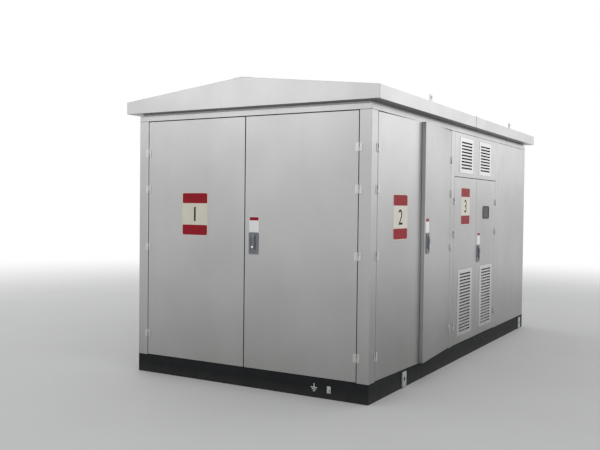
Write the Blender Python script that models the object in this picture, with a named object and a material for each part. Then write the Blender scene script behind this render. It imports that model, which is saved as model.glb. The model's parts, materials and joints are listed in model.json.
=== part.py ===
# Housing of a compact prefabricated transformer substation: a steel cabin on a channel base,
# with double doors in its ends and long sides, louvres and a low gabled roof.
# Metres, +Z up. The origin is at the middle of the footprint, on the ground.
# +X runs along the cabin. The front faces -Y, and the near end, with its double door, faces -X.
import math

import bmesh
import bpy
from mathutils import Matrix

# Driving dimensions
LENGTH = 4.73
WIDTH = 2.36
BASE_HEIGHT = 0.16
WALL_HEIGHT = 2.20
HEADER_HEIGHT = 0.048
SEAT_HEIGHT = 0.0187
FASCIA_HEIGHT = 0.109
RIDGE_RISE = 0.143
END_OVERHANG = 0.075
SIDE_OVERHANG = 0.095

# Steel sections
CHANNEL_FLANGE = 0.065
CHANNEL_STEEL = 0.008
FLOOR_THICKNESS = 0.005
SECTION_DEPTH = 0.054
STOP_LIP = 0.015
STOP_STEEL = 0.006
CORNER_POST_END_FACE = 0.105
CORNER_POST_SIDE_FACE = 0.118
MIDDLE_POST_FACE = 0.100
TRANSOM_HEIGHT = 0.050
TRANSOM_DEPTH = 0.040
ROOF_STEEL = 0.012
CEILING_THICKNESS = 0.006
SEAT_WIDTH = 0.030
SEAT_SET_BACK = 0.020

# Openings in the long sides, from the near corner on
SWITCH_ROOM_OPENING = 1.742
BAY_OPENING = 1.444

# Doors and panels
DOOR_THICKNESS = 0.040
DOOR_SHEET = 0.006
DOOR_RIM = 0.045
DOOR_RIB = 0.050
DOOR_REVEAL = 0.006
MEETING_GAP = 0.008
PANEL_GAP = 0.002
SWITCH_DOOR_LEFT_AJAR_ANGLE = 2.0
SWITCH_DOOR_RIGHT_AJAR_ANGLE = 4.3

# Hinges: drops from the top of the opening to the upper ones, and rises from the base to the rest
HINGE_DROPS = (0.292, 0.622)
HINGE_RISES = (1.000, 0.200)
BAY_HINGE_DROPS = (0.2465, 0.5785)
BAY_HINGE_RISES = (0.200,)
HINGE_LENGTH = 0.067
HINGE_LEAF = 0.021
HINGE_STEEL = 0.004
HINGE_ARM_INSET = 0.004
KNUCKLE_RADIUS = 0.006
KNUCKLE_CLEARANCE = 0.002
KNUCKLE_SIDES = 8
AXIS_OUT = 0.006

# Handles
HANDLE_WIDTH = 0.095
HANDLE_HEIGHT = 0.186
HANDLE_PLATE = 0.006
HANDLE_INSET = 0.042
HANDLE_RISE = 1.070
BAY_HANDLE_OVER_LOUVRE = 0.1445
LEVER_WIDTH = 0.026
LEVER_LENGTH = 0.125
LEVER_RISE = 0.014
LEVER_DROP = 0.014
RECESS_DEPTH = 0.004
RECESS_MARGIN = 0.010
LOCK_RADIUS = 0.009
LOCK_RISE = 0.002
LOCK_IN = 0.015

# Louvres: the slots slope down outwards, so that rain runs off
UPPER_LOUVRE_SLOTS = 9
LOWER_LOUVRE_SLOTS = 19
SLOT_PITCH = 0.0325
SLOT_HEIGHT = 0.016
SLOT_SLOPE_ANGLE = 30.0
SLOT_WIDTH = 0.340
LOUVRE_PROUD = 0.005
LOUVRE_SUNK = 0.017
LOUVRE_LAP = 0.012
LOUVRE_CLEARANCE = 0.001
UPPER_LOUVRE_SIDE_BORDER = 0.046
UPPER_LOUVRE_END_BORDER = 0.045
UPPER_PANEL_BORDER = 0.04175
LOWER_LOUVRE_SIDE_BORDER = 0.060
LOWER_LOUVRE_END_BORDER = 0.0355
LOWER_LOUVRE_RISE = 0.080

# Centres of louvres and window from the outer edge of the leaf or panel that they are in
LEFT_LOUVRE_IN = 0.3725
UPPER_RIGHT_LOUVRE_IN = 0.427
LOWER_RIGHT_LOUVRE_IN = 0.339
WINDOW_IN = 0.3655

# Window in the right bay door
WINDOW_WIDTH = 0.231
WINDOW_HEIGHT = 0.141
WINDOW_RADIUS = 0.028
WINDOW_LAP = 0.010
WINDOW_CLEARANCE = 0.001
WINDOW_DROP = 0.361
WINDOW_PROUD = 0.004
WINDOW_SUNK = 0.010

# Ribs on the backs of doors and panels: shares of the wall's height, and the space that a bay
# door's ribs leave over its louvre and under its window
DOOR_RIB_SHARES = (0.318, 0.655)
BAY_RIB_SPACE = 0.043

# Brackets and terminals
NEAR_LUG_FROM_END = 0.7065
FAR_LUG_FROM_END = 0.175
LUG_WIDTH = 0.083
LUG_HEIGHT = 0.130
LUG_FOOT = 0.010
LUG_STEEL = 0.012
LUG_HOLE_RADIUS = 0.020
EYE_FROM_END = 1.065
EYE_WIDTH = 0.055
EYE_HEIGHT = 0.065
EYE_STEEL = 0.010
EYE_HOLE_RADIUS = 0.013
EYE_SET_BACK = 0.014
EARTH_FROM_CORNER = 0.3455
EARTH_WIDTH = 0.035
EARTH_HEIGHT = 0.056
EARTH_MIDDLE = 0.078
EARTH_PLATE = 0.006
STUD_RADIUS = 0.009
STUD_LENGTH = 0.020
STUD_SIDES = 12

# Clearances
SEAT_GAP = 0.0003
OVERLAP = 0.001

# What follows from the sizes above
HALF_LENGTH = LENGTH / 2
HALF_WIDTH = WIDTH / 2
WALL_BOTTOM = BASE_HEIGHT + SEAT_GAP
WALL_TOP = BASE_HEIGHT + WALL_HEIGHT
HEADER_BOTTOM = WALL_TOP - HEADER_HEIGHT
FASCIA_BOTTOM = WALL_TOP + SEAT_HEIGHT + SEAT_GAP
EAVE_TOP = FASCIA_BOTTOM + FASCIA_HEIGHT
RIDGE_TOP = EAVE_TOP + RIDGE_RISE
EAVE_REACH = HALF_WIDTH + SIDE_OVERHANG
GABLE_REACH = HALF_LENGTH + END_OVERHANG
STOP_DEPTH = SECTION_DEPTH + STOP_STEEL
SEAT_DEPTH = SEAT_SET_BACK + SEAT_WIDTH
PANEL_THICKNESS = SECTION_DEPTH - SEAT_GAP
SIDE_OPENING_EDGE = HALF_LENGTH - CORNER_POST_SIDE_FACE
END_OPENING_EDGE = HALF_WIDTH - CORNER_POST_END_FACE
SWITCH_ROOM_END = -SIDE_OPENING_EDGE + SWITCH_ROOM_OPENING
BAY_START = SWITCH_ROOM_END + MIDDLE_POST_FACE
BAY_END = BAY_START + BAY_OPENING
FAR_ROOM_START = BAY_END + MIDDLE_POST_FACE
DOOR_FOOT = BASE_HEIGHT + DOOR_REVEAL
DOOR_HEAD = HEADER_BOTTOM - DOOR_REVEAL
UPPER_LOUVRE_HEIGHT = (UPPER_LOUVRE_SLOTS - 1) * SLOT_PITCH + SLOT_HEIGHT + 2 * UPPER_LOUVRE_END_BORDER
BAY_DOOR_TOP = HEADER_BOTTOM - UPPER_LOUVRE_HEIGHT - 2 * UPPER_PANEL_BORDER
UPPER_LOUVRE_MIDDLE = (BAY_DOOR_TOP + HEADER_BOTTOM) / 2
LOWER_LOUVRE_BOTTOM = BASE_HEIGHT + LOWER_LOUVRE_RISE
LOWER_LOUVRE_HEIGHT = (LOWER_LOUVRE_SLOTS - 1) * SLOT_PITCH + SLOT_HEIGHT + 2 * LOWER_LOUVRE_END_BORDER
LOWER_LOUVRE_TOP = LOWER_LOUVRE_BOTTOM + LOWER_LOUVRE_HEIGHT
LOWER_LOUVRE_MIDDLE = (LOWER_LOUVRE_BOTTOM + LOWER_LOUVRE_TOP) / 2
WINDOW_MIDDLE = BAY_DOOR_TOP - WINDOW_DROP
HANDLE_MIDDLE = BASE_HEIGHT + HANDLE_RISE
BAY_HANDLE_MIDDLE = LOWER_LOUVRE_TOP + BAY_HANDLE_OVER_LOUVRE
DOOR_RIBS = [BASE_HEIGHT + share * WALL_HEIGHT for share in DOOR_RIB_SHARES]
BAY_DOOR_RIBS = [
    LOWER_LOUVRE_TOP + BAY_RIB_SPACE + DOOR_RIB / 2,
    WINDOW_MIDDLE - WINDOW_HEIGHT / 2 - BAY_RIB_SPACE - DOOR_RIB / 2,
]
HINGE_HEIGHTS = [HEADER_BOTTOM - drop for drop in HINGE_DROPS] + [BASE_HEIGHT + rise for rise in HINGE_RISES]
BAY_HINGE_HEIGHTS = [
    *(BAY_DOOR_TOP - drop for drop in BAY_HINGE_DROPS),
    *(BASE_HEIGHT + rise for rise in BAY_HINGE_RISES),
]
LUG_PLACES = (NEAR_LUG_FROM_END - HALF_LENGTH, HALF_LENGTH - FAR_LUG_FROM_END)
EYE_PLACE = HALF_LENGTH - EYE_FROM_END
EARTH_PLACE = HALF_WIDTH - EARTH_FROM_CORNER
ROOF_SLOPE = math.atan2(RIDGE_RISE, EAVE_REACH)


# Finishes

def finish(name, color, roughness, metallic=0.0):
    made = bpy.data.materials.new(name)
    made.use_nodes = True
    shader = made.node_tree.nodes["Principled BSDF"]
    shader.inputs["Base Color"].default_value = (*color, 1.0)
    shader.inputs["Roughness"].default_value = roughness
    shader.inputs["Metallic"].default_value = metallic
    return made


# Mesh helpers

def new_object(name, shape, paint=None):
    mesh = bpy.data.meshes.new(name)
    shape.to_mesh(mesh)
    shape.free()
    if paint is not None:
        mesh.materials.append(paint)
    made = bpy.data.objects.new(name, mesh)
    bpy.context.scene.collection.objects.link(made)
    return made


def new_empty(name, parent=None):
    made = bpy.data.objects.new(name, None)
    bpy.context.scene.collection.objects.link(made)
    made.parent = parent
    return made


def bridged(low_ring, high_ring):
    """A closed solid between two rings of as many points."""
    shape = bmesh.new()
    low = [shape.verts.new(point) for point in low_ring]
    high = [shape.verts.new(point) for point in high_ring]
    shape.faces.new(low)
    shape.faces.new(high)
    count = len(low)
    for index in range(count):
        after = (index + 1) % count
        shape.faces.new((low[index], low[after], high[after], high[index]))
    bmesh.ops.recalc_face_normals(shape, faces=shape.faces)
    return shape


def flat_run(points, low, high, across):
    """An outline of (a, b) points extruded: across Z it lies in plan, across X in the plane of Y
    and Z, and across Y in the plane of X and Z."""
    place = {
        "X": lambda a, b, c: (c, a, b),
        "Y": lambda a, b, c: (a, c, b),
        "Z": lambda a, b, c: (a, b, c),
    }[across]
    return bridged([place(a, b, low) for a, b in points], [place(a, b, high) for a, b in points])


def mitred_run(points, half_run):
    """An outline of (depth, height) points run along X, with both ends cut at 45 degrees."""
    start = [(-half_run + depth + SEAT_GAP, depth, height) for depth, height in points]
    end = [(half_run - depth - SEAT_GAP, depth, height) for depth, height in points]
    return bridged(start, end)


def box(x_ends, y_ends, z_ends):
    """A box between two values on each axis, in any order."""
    x0, x1 = sorted(x_ends)
    y0, y1 = sorted(y_ends)
    return flat_run([(x0, y0), (x1, y0), (x1, y1), (x0, y1)], min(z_ends), max(z_ends), "Z")


def circle(centre, radius, sides):
    turns = [math.tau * (index + 0.5) / sides for index in range(sides)]
    return [(centre[0] + radius * math.cos(turn), centre[1] + radius * math.sin(turn)) for turn in turns]


def round_rectangle(centre, width, height, radius, steps=3):
    points = []
    for quarter, (side, up) in enumerate(((1, 1), (-1, 1), (-1, -1), (1, -1))):
        middle_x = centre[0] + side * (width / 2 - radius)
        middle_y = centre[1] + up * (height / 2 - radius)
        for step in range(steps + 1):
            turn = math.radians(90 * (quarter + step / steps))
            points.append((middle_x + radius * math.cos(turn), middle_y + radius * math.sin(turn)))
    return points


def together(shapes):
    """Closed shapes that don't touch, in one mesh."""
    whole = bmesh.new()
    for shape in shapes:
        carrier = bpy.data.meshes.new("carrier")
        shape.to_mesh(carrier)
        shape.free()
        whole.from_mesh(carrier)
        bpy.data.meshes.remove(carrier)
    return whole


def combine(target, shape, operation):
    """One Boolean, applied."""
    tool = new_object(target.name + "_tool", shape)
    tool.hide_render = True
    tool.display_type = "WIRE"
    tool.matrix_world = target.matrix_world
    step = target.modifiers.new(operation, "BOOLEAN")
    step.operation = operation
    step.solver = "EXACT"
    step.object = tool
    bpy.context.view_layer.update()
    result = bpy.data.meshes.new_from_object(target.evaluated_get(bpy.context.evaluated_depsgraph_get()))
    target.modifiers.clear()
    old = target.data
    target.data = result
    bpy.data.meshes.remove(old)
    result.name = target.name
    bpy.data.objects.remove(tool)


def join_to(target, *shapes):
    for shape in shapes:
        combine(target, shape, "UNION")


def cut_from(target, *shapes):
    for shape in shapes:
        combine(target, shape, "DIFFERENCE")


# Walls. In a wall's own frame the face is at Y = 0, X runs to the right as seen from outside and
# Y runs inwards. Both long walls have their rooms at the same places along the cabin, so a place
# on the back wall is mirrored.

def wall_place(wall):
    turn, x, y = {
        "front": (0, 0, -HALF_WIDTH),
        "back": (180, 0, HALF_WIDTH),
        "near": (-90, -HALF_LENGTH, 0),
        "far": (90, HALF_LENGTH, 0),
    }[wall]
    return Matrix.Translation((x, y, 0)) @ Matrix.Rotation(math.radians(turn), 4, "Z")


def put_on_wall(piece, wall, x=0.0):
    piece.matrix_world = wall_place(wall) @ Matrix.Translation((x, 0, 0))


def on_side(wall, place):
    return -place if wall == "back" else place


def stretch(wall, start, end):
    return tuple(sorted((on_side(wall, start), on_side(wall, end))))


def openings(wall):
    """The openings between the posts of a wall, left to right."""
    if wall in ("near", "far"):
        return [(-END_OPENING_EDGE, END_OPENING_EDGE)]
    rooms = [
        (-SIDE_OPENING_EDGE, SWITCH_ROOM_END),
        (BAY_START, BAY_END),
        (FAR_ROOM_START, SIDE_OPENING_EDGE),
    ]
    return sorted(stretch(wall, *room) for room in rooms)


def half_run(wall):
    return HALF_WIDTH if wall in ("near", "far") else HALF_LENGTH


# Hinges. In a hinge's own frame the pin is on Z, side is the way to the carried leaf and Y runs
# inwards.

def hinge_halves(heights, side, carried):
    """The plates, arms and barrels of one half of each hinge, as three meshes."""
    way = side if carried else -side
    plates, arms, barrels = [], [], []
    for height in heights:
        low, high = height - HINGE_LENGTH / 2, height + HINGE_LENGTH / 2
        barrel = (height + SEAT_GAP, high) if carried else (low, height - SEAT_GAP)
        inner = KNUCKLE_RADIUS + KNUCKLE_CLEARANCE
        front = AXIS_OUT - HINGE_STEEL
        plate_x = (way * inner, way * (inner + HINGE_LEAF))
        plates.append(box(plate_x, (front, AXIS_OUT + OVERLAP), (low, high)))
        arm = (barrel[0] + HINGE_ARM_INSET, barrel[1] - HINGE_ARM_INSET)
        arms.append(box((0, way * (inner + OVERLAP)), (front + OVERLAP / 2, AXIS_OUT - OVERLAP / 2), arm))
        barrels.append(flat_run(circle((0, 0), KNUCKLE_RADIUS, KNUCKLE_SIDES), *barrel, "Z"))
    return [together(plates), together(arms), together(barrels)]


def hinge_place(wall, edge, side):
    """A hinge's frame: its pin stands before the middle of the gap beside an opening's edge."""
    return wall_place(wall) @ Matrix.Translation((edge + side * DOOR_REVEAL / 2, -AXIS_OUT, 0))


def fix_hinges(post, wall, edge, side, heights):
    """Joins the fixed halves of a door's hinges to the post beside it."""
    bpy.context.view_layer.update()
    local = post.matrix_world.inverted() @ hinge_place(wall, edge, side)
    for shape in hinge_halves(heights, side, False):
        shape.transform(local)
        join_to(post, shape)


# Base, floor and frame

def base_channel(wall, paint):
    """A channel with its web outwards, the thresholds of its wall's openings and its brackets."""
    inner = BASE_HEIGHT - CHANNEL_STEEL
    section = [
        (0, 0),
        (CHANNEL_FLANGE, 0),
        (CHANNEL_FLANGE, CHANNEL_STEEL),
        (CHANNEL_STEEL, CHANNEL_STEEL),
        (CHANNEL_STEEL, inner),
        (CHANNEL_FLANGE, inner),
        (CHANNEL_FLANGE, BASE_HEIGHT),
        (0, BASE_HEIGHT),
    ]
    channel = new_object("base_channel_" + wall, mitred_run(section, half_run(wall)), paint)
    put_on_wall(channel, wall)
    clear = STOP_LIP + SEAT_GAP
    for start, end in openings(wall):
        foot = (BASE_HEIGHT - OVERLAP, BASE_HEIGHT + STOP_LIP)
        join_to(channel, box((start + clear, end - clear), (SECTION_DEPTH, STOP_DEPTH), foot))
    if wall in ("front", "back"):
        for place in LUG_PLACES:
            add_lug(channel, on_side(wall, place))
    return channel


def add_lug(channel, place):
    """A lifting bracket: a plate on the web with a hole for a shackle."""
    ends = (place - LUG_WIDTH / 2, place + LUG_WIDTH / 2)
    join_to(channel, box(ends, (-LUG_STEEL, OVERLAP), (LUG_FOOT, LUG_FOOT + LUG_HEIGHT)))
    hole = circle((place, LUG_FOOT + LUG_HEIGHT / 2), LUG_HOLE_RADIUS, STUD_SIDES)
    cut_from(channel, flat_run(hole, -LUG_STEEL - OVERLAP, CHANNEL_STEEL + OVERLAP, "Y"))


def corner_post(name, along, across, paint):
    """An angle whose two legs carry the door stops of the walls that meet there."""
    section = [
        (0, 0),
        (CORNER_POST_SIDE_FACE, 0),
        (CORNER_POST_SIDE_FACE, SECTION_DEPTH),
        (CORNER_POST_SIDE_FACE + STOP_LIP, SECTION_DEPTH),
        (CORNER_POST_SIDE_FACE + STOP_LIP, STOP_DEPTH),
        (STOP_DEPTH, STOP_DEPTH),
        (STOP_DEPTH, CORNER_POST_END_FACE + STOP_LIP),
        (SECTION_DEPTH, CORNER_POST_END_FACE + STOP_LIP),
        (SECTION_DEPTH, CORNER_POST_END_FACE),
        (0, CORNER_POST_END_FACE),
    ]
    outline = [(-along * a, -across * b) for a, b in section]
    post = new_object(name, flat_run(outline, WALL_BOTTOM, HEADER_BOTTOM - SEAT_GAP, "Z"), paint)
    post.location = (along * HALF_LENGTH, across * HALF_WIDTH, 0)
    return post


def middle_post(name, wall, start, paint):
    """A post with a door stop on both sides."""
    end = start + MIDDLE_POST_FACE
    section = [
        (start, 0),
        (end, 0),
        (end, SECTION_DEPTH),
        (end + STOP_LIP, SECTION_DEPTH),
        (end + STOP_LIP, STOP_DEPTH),
        (start - STOP_LIP, STOP_DEPTH),
        (start - STOP_LIP, SECTION_DEPTH),
        (start, SECTION_DEPTH),
    ]
    post = new_object(name, flat_run(section, WALL_BOTTOM, HEADER_BOTTOM - SEAT_GAP, "Z"), paint)
    put_on_wall(post, wall)
    return post


def header(wall, paint):
    """The rail over the openings, with door stops below and the set-back seat of the roof above."""
    section = [
        (0, HEADER_BOTTOM),
        (STOP_DEPTH, HEADER_BOTTOM),
        (STOP_DEPTH, WALL_TOP),
        (SEAT_DEPTH, WALL_TOP),
        (SEAT_DEPTH, WALL_TOP + SEAT_HEIGHT),
        (SEAT_SET_BACK, WALL_TOP + SEAT_HEIGHT),
        (SEAT_SET_BACK, WALL_TOP),
        (0, WALL_TOP),
    ]
    rail = new_object("header_" + wall, mitred_run(section, half_run(wall)), paint)
    put_on_wall(rail, wall)
    clear = STOP_LIP + SEAT_GAP
    for start, end in openings(wall):
        stop = (HEADER_BOTTOM - STOP_LIP, HEADER_BOTTOM + OVERLAP)
        join_to(rail, box((start + clear, end - clear), (SECTION_DEPTH, STOP_DEPTH), stop))
    return rail


def transom(wall, paint):
    """The bar behind the joint of the bay's doors and the panels above them."""
    start, end = stretch(wall, BAY_START, BAY_END)
    low = BAY_DOOR_TOP - STOP_LIP
    back = STOP_DEPTH + SEAT_GAP
    bar = box((start - STOP_LIP, end + STOP_LIP), (back, back + TRANSOM_DEPTH), (low, low + TRANSOM_HEIGHT))
    made = new_object("transom_" + wall, bar, paint)
    put_on_wall(made, wall)
    clear = STOP_LIP + SEAT_GAP
    stop = box((start + clear, end - clear), (SECTION_DEPTH, back + OVERLAP), (low, low + TRANSOM_HEIGHT))
    join_to(made, stop)
    return made


def floor_plate(paint):
    reach_x = HALF_LENGTH - STOP_DEPTH - SEAT_GAP
    reach_y = HALF_WIDTH - STOP_DEPTH - SEAT_GAP
    levels = (WALL_BOTTOM, WALL_BOTTOM + FLOOR_THICKNESS)
    return new_object("floor_plate", box((-reach_x, reach_x), (-reach_y, reach_y), levels), paint)


def ceiling_panel(paint):
    reach_x = HALF_LENGTH - SEAT_DEPTH - SEAT_GAP
    reach_y = HALF_WIDTH - SEAT_DEPTH - SEAT_GAP
    levels = (WALL_TOP + SEAT_GAP, WALL_TOP + SEAT_GAP + CEILING_THICKNESS)
    return new_object("ceiling_panel", box((-reach_x, reach_x), (-reach_y, reach_y), levels), paint)


# Roof

def roof_slope(name, side, paint):
    """Half the roof: a slope, its eave fascia and the soffit that rests on the header's seat."""
    eave = EAVE_REACH
    seat = HALF_WIDTH - SEAT_DEPTH
    steel_up = ROOF_STEEL / math.cos(ROOF_SLOPE)
    rise_inside = ROOF_STEEL * math.tan(ROOF_SLOPE)
    outline = [
        (eave, FASCIA_BOTTOM),
        (seat, FASCIA_BOTTOM),
        (seat, FASCIA_BOTTOM + ROOF_STEEL),
        (eave - ROOF_STEEL, FASCIA_BOTTOM + ROOF_STEEL),
        (eave - ROOF_STEEL, EAVE_TOP + rise_inside - steel_up),
        (SEAT_GAP / 2, RIDGE_TOP - steel_up),
        (SEAT_GAP / 2, RIDGE_TOP),
        (eave, EAVE_TOP),
    ]
    reach = GABLE_REACH - ROOF_STEEL - SEAT_GAP
    half = new_object(name, flat_run([(side * y, z) for y, z in outline], -reach, reach, "X"), paint)
    for place in (-EYE_PLACE, EYE_PLACE):
        add_roof_eye(half, place, side)
    return half


def add_roof_eye(half, place, side):
    """A lifting eye that stands up through the slope beside the eave."""
    outer = EAVE_REACH - EYE_SET_BACK
    ends_y = (side * outer, side * (outer - EYE_STEEL))
    foot = EAVE_TOP - ROOF_STEEL / 2
    top = EAVE_TOP + EYE_HEIGHT
    join_to(half, box((place - EYE_WIDTH / 2, place + EYE_WIDTH / 2), ends_y, (foot, top)))
    hole = circle((place, top - EYE_WIDTH / 2), EYE_HOLE_RADIUS, STUD_SIDES)
    reach = sorted((side * (outer + OVERLAP), side * (outer - EYE_STEEL - OVERLAP)))
    cut_from(half, flat_run(hole, *reach, "Y"))


def gable(name, side, paint):
    """An end of the roof: a five-sided plate and the soffit that rests on the header's seat."""
    outline = [
        (-EAVE_REACH, FASCIA_BOTTOM),
        (EAVE_REACH, FASCIA_BOTTOM),
        (EAVE_REACH, EAVE_TOP),
        (0, RIDGE_TOP),
        (-EAVE_REACH, EAVE_TOP),
    ]
    ends = sorted((side * GABLE_REACH, side * (GABLE_REACH - ROOF_STEEL)))
    made = new_object(name, flat_run(outline, *ends, "X"), paint)
    inner = HALF_WIDTH - SEAT_DEPTH - SEAT_GAP
    soffit_x = (side * (GABLE_REACH - ROOF_STEEL / 2), side * (HALF_LENGTH - SEAT_DEPTH))
    join_to(made, box(soffit_x, (-inner, inner), (FASCIA_BOTTOM, FASCIA_BOTTOM + ROOF_STEEL)))
    return made


# Doors and panels

def tray(name, x_ends, front, back, z_ends, ribs, paint):
    """A folded sheet with a rim, open at the back between its ribs."""
    low_x, high_x = sorted(x_ends)
    made = new_object(name, box(x_ends, (front, back), z_ends), paint)
    floors = [z_ends[0] + DOOR_RIM] + [rib + DOOR_RIB / 2 for rib in ribs]
    tops = [rib - DOOR_RIB / 2 for rib in ribs] + [z_ends[1] - DOOR_RIM]
    pocket_x = (low_x + DOOR_RIM, high_x - DOOR_RIM)
    pocket_y = (front + DOOR_SHEET, back + OVERLAP)
    cut_from(made, together([box(pocket_x, pocket_y, levels) for levels in zip(floors, tops)]))
    return made


def leaf_width(start, end):
    return (end - start - 2 * DOOR_REVEAL - MEETING_GAP) / 2


def door(name, wall, edge, side, width, z_ends, ribs, heights, paint, ajar=0.0):
    """One leaf on its hinges. side is 1 where its hinges are at its left as seen from outside.

    The leaf is modelled on its hinge axis, and an empty there holds the angle it stands open by.
    """
    axis = new_empty(name + "_axis")
    axis.matrix_world = hinge_place(wall, edge, side) @ Matrix.Rotation(-side * math.radians(ajar), 4, "Z")
    near = side * DOOR_REVEAL / 2
    ends = (near, near + side * width)
    leaf = tray(name, ends, AXIS_OUT, AXIS_OUT + DOOR_THICKNESS, z_ends, ribs, paint)
    join_to(leaf, *hinge_halves(heights, side, True))
    leaf.parent = axis
    return leaf


def handle(name, width, side, middle, seat, paint):
    """A swing handle, in the frame of the door that it is on: a plate with a recess, the lever that
    folds into it and the lock at the lever's foot."""
    near = side * (DOOR_REVEAL / 2 + width - HANDLE_INSET)
    across = (near, near - side * HANDLE_WIDTH)
    front = AXIS_OUT - HANDLE_PLATE
    levels = (middle - HANDLE_HEIGHT / 2, middle + HANDLE_HEIGHT / 2)
    made = new_object(name, box(across, (front, AXIS_OUT - seat), levels), paint)
    centre = near - side * HANDLE_WIDTH / 2
    top = levels[1] - LEVER_DROP
    bottom = top - LEVER_LENGTH
    half = LEVER_WIDTH / 2
    recess_x = (centre - half - RECESS_MARGIN, centre + half + RECESS_MARGIN)
    recess_z = (levels[0] + RECESS_MARGIN, top - LEVER_WIDTH)
    cut_from(made, box(recess_x, (front - OVERLAP, front + RECESS_DEPTH), recess_z))
    profile = [
        (front + RECESS_DEPTH + OVERLAP, bottom),
        (front + RECESS_DEPTH + OVERLAP, top),
        (front - LEVER_RISE / 2, top),
        (front - LEVER_RISE, top - LEVER_WIDTH),
        (front - LEVER_RISE, bottom + half),
        (front - LEVER_RISE / 2, bottom),
    ]
    join_to(made, flat_run(profile, centre - half, centre + half, "X"))
    lock = circle((centre, bottom + LOCK_IN), LOCK_RADIUS, STUD_SIDES)
    join_to(made, flat_run(lock, front - LEVER_RISE - LOCK_RISE, front - LEVER_RISE + OVERLAP, "Y"))
    return made


# Louvres and window, in the frame of the sheet that they are let into. face is the depth of that
# sheet's face, and seat the gap behind their flange.

def louvre_size(unit):
    slots, side_border, height = unit
    return SLOT_WIDTH + 2 * side_border, height


def louvre(name, centre, middle, face, unit, seat, paint):
    """A flanged plate with a row of sloped slots."""
    width, height = louvre_size(unit)
    flange_x = (centre - width / 2, centre + width / 2)
    flange_z = (middle - height / 2, middle + height / 2)
    body_x = (flange_x[0] + LOUVRE_LAP, flange_x[1] - LOUVRE_LAP)
    body_z = (flange_z[0] + LOUVRE_LAP, flange_z[1] - LOUVRE_LAP)
    front, back = face - LOUVRE_PROUD, face + LOUVRE_SUNK
    made = new_object(name, box(flange_x, (front, face - seat), flange_z), paint)
    join_to(made, box(body_x, (front + OVERLAP, back), body_z))
    cut_from(made, together([slot(centre, level, front, back) for level in slot_levels(middle, unit)]))
    return made


def slot_levels(middle, unit):
    slots = unit[0]
    return [middle + (index - (slots - 1) / 2) * SLOT_PITCH for index in range(slots)]


def slot(centre, level, front, back):
    """The space of one slot, rising inwards."""
    outer, inner = front - OVERLAP, back + OVERLAP
    rise = (inner - outer) * math.tan(math.radians(SLOT_SLOPE_ANGLE))
    low = level - SLOT_HEIGHT / 2
    high = low + SLOT_HEIGHT
    outline = [(outer, low), (outer, high), (inner, high + rise), (inner, low + rise)]
    return flat_run(outline, centre - SLOT_WIDTH / 2, centre + SLOT_WIDTH / 2, "X")


def louvre_hole(centre, middle, face, unit):
    width, height = louvre_size(unit)
    half_x = width / 2 - LOUVRE_LAP + LOUVRE_CLEARANCE
    half_z = height / 2 - LOUVRE_LAP + LOUVRE_CLEARANCE
    depth = (face - OVERLAP, face + DOOR_SHEET + OVERLAP)
    return box((centre - half_x, centre + half_x), depth, (middle - half_z, middle + half_z))


def window_outline(centre, inset):
    width, height = WINDOW_WIDTH - 2 * inset, WINDOW_HEIGHT - 2 * inset
    return round_rectangle((centre, WINDOW_MIDDLE), width, height, WINDOW_RADIUS - inset)


def window(name, centre, seat, paint):
    """A round-cornered pane whose flange laps over the door's sheet."""
    front = AXIS_OUT - WINDOW_PROUD
    made = new_object(name, flat_run(window_outline(centre, 0), front, AXIS_OUT - seat, "Y"), paint)
    inside = flat_run(window_outline(centre, WINDOW_LAP), front + OVERLAP, AXIS_OUT + WINDOW_SUNK, "Y")
    join_to(made, inside)
    return made


def window_hole(centre):
    outline = window_outline(centre, WINDOW_LAP - WINDOW_CLEARANCE)
    return flat_run(outline, AXIS_OUT - OVERLAP, AXIS_OUT + DOOR_SHEET + OVERLAP, "Y")


def earth_terminal(paint):
    """A plate and a stud on the near end's channel, for the earth conductor."""
    ends = (EARTH_PLACE - EARTH_WIDTH / 2, EARTH_PLACE + EARTH_WIDTH / 2)
    levels = (EARTH_MIDDLE - EARTH_HEIGHT / 2, EARTH_MIDDLE + EARTH_HEIGHT / 2)
    made = new_object("earth_terminal", box(ends, (-EARTH_PLATE, -SEAT_GAP), levels), paint)
    stud = circle((EARTH_PLACE, EARTH_MIDDLE), STUD_RADIUS, STUD_SIDES)
    join_to(made, flat_run(stud, -EARTH_PLATE - STUD_LENGTH, -EARTH_PLATE + OVERLAP, "Y"))
    put_on_wall(made, "near")


# Assemblies. Where a wall is in use its fittings are pieces of their own. On the two walls whose
# doors stay shut they are welded to the leaf or panel that carries them.

UPPER_LOUVRE = (UPPER_LOUVRE_SLOTS, UPPER_LOUVRE_SIDE_BORDER, UPPER_LOUVRE_HEIGHT)
LOWER_LOUVRE = (LOWER_LOUVRE_SLOTS, LOWER_LOUVRE_SIDE_BORDER, LOWER_LOUVRE_HEIGHT)


def in_use(wall):
    return wall in ("near", "front")


def seat_on(wall):
    return SEAT_GAP if in_use(wall) else -OVERLAP


def attach(fitting, carrier, wall):
    """Leaves a fitting on its carrier as a piece of its own, or welds it there."""
    if in_use(wall):
        if carrier.parent is not None:
            fitting.parent = carrier.parent
        else:
            fitting.matrix_world = carrier.matrix_world
        return
    shape = bmesh.new()
    shape.from_mesh(fitting.data)
    bpy.data.objects.remove(fitting)
    join_to(carrier, shape)


def door_pair(wall, opening, z_ends, ribs, heights, handle_middle, name, paints, ajar=(0, 0)):
    """Two leaves that meet in the middle of an opening, with the handle on the right one."""
    left, right = opening
    width = leaf_width(left, right)
    steel, grey = paints
    first = door(name + "_left", wall, left, 1, width, z_ends, ribs, heights, steel, ajar[0])
    second = door(name + "_right", wall, right, -1, width, z_ends, ribs, heights, steel, ajar[1])
    attach(handle(name + "_handle", width, -1, handle_middle, seat_on(wall), grey), second, wall)
    return first, second


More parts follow.
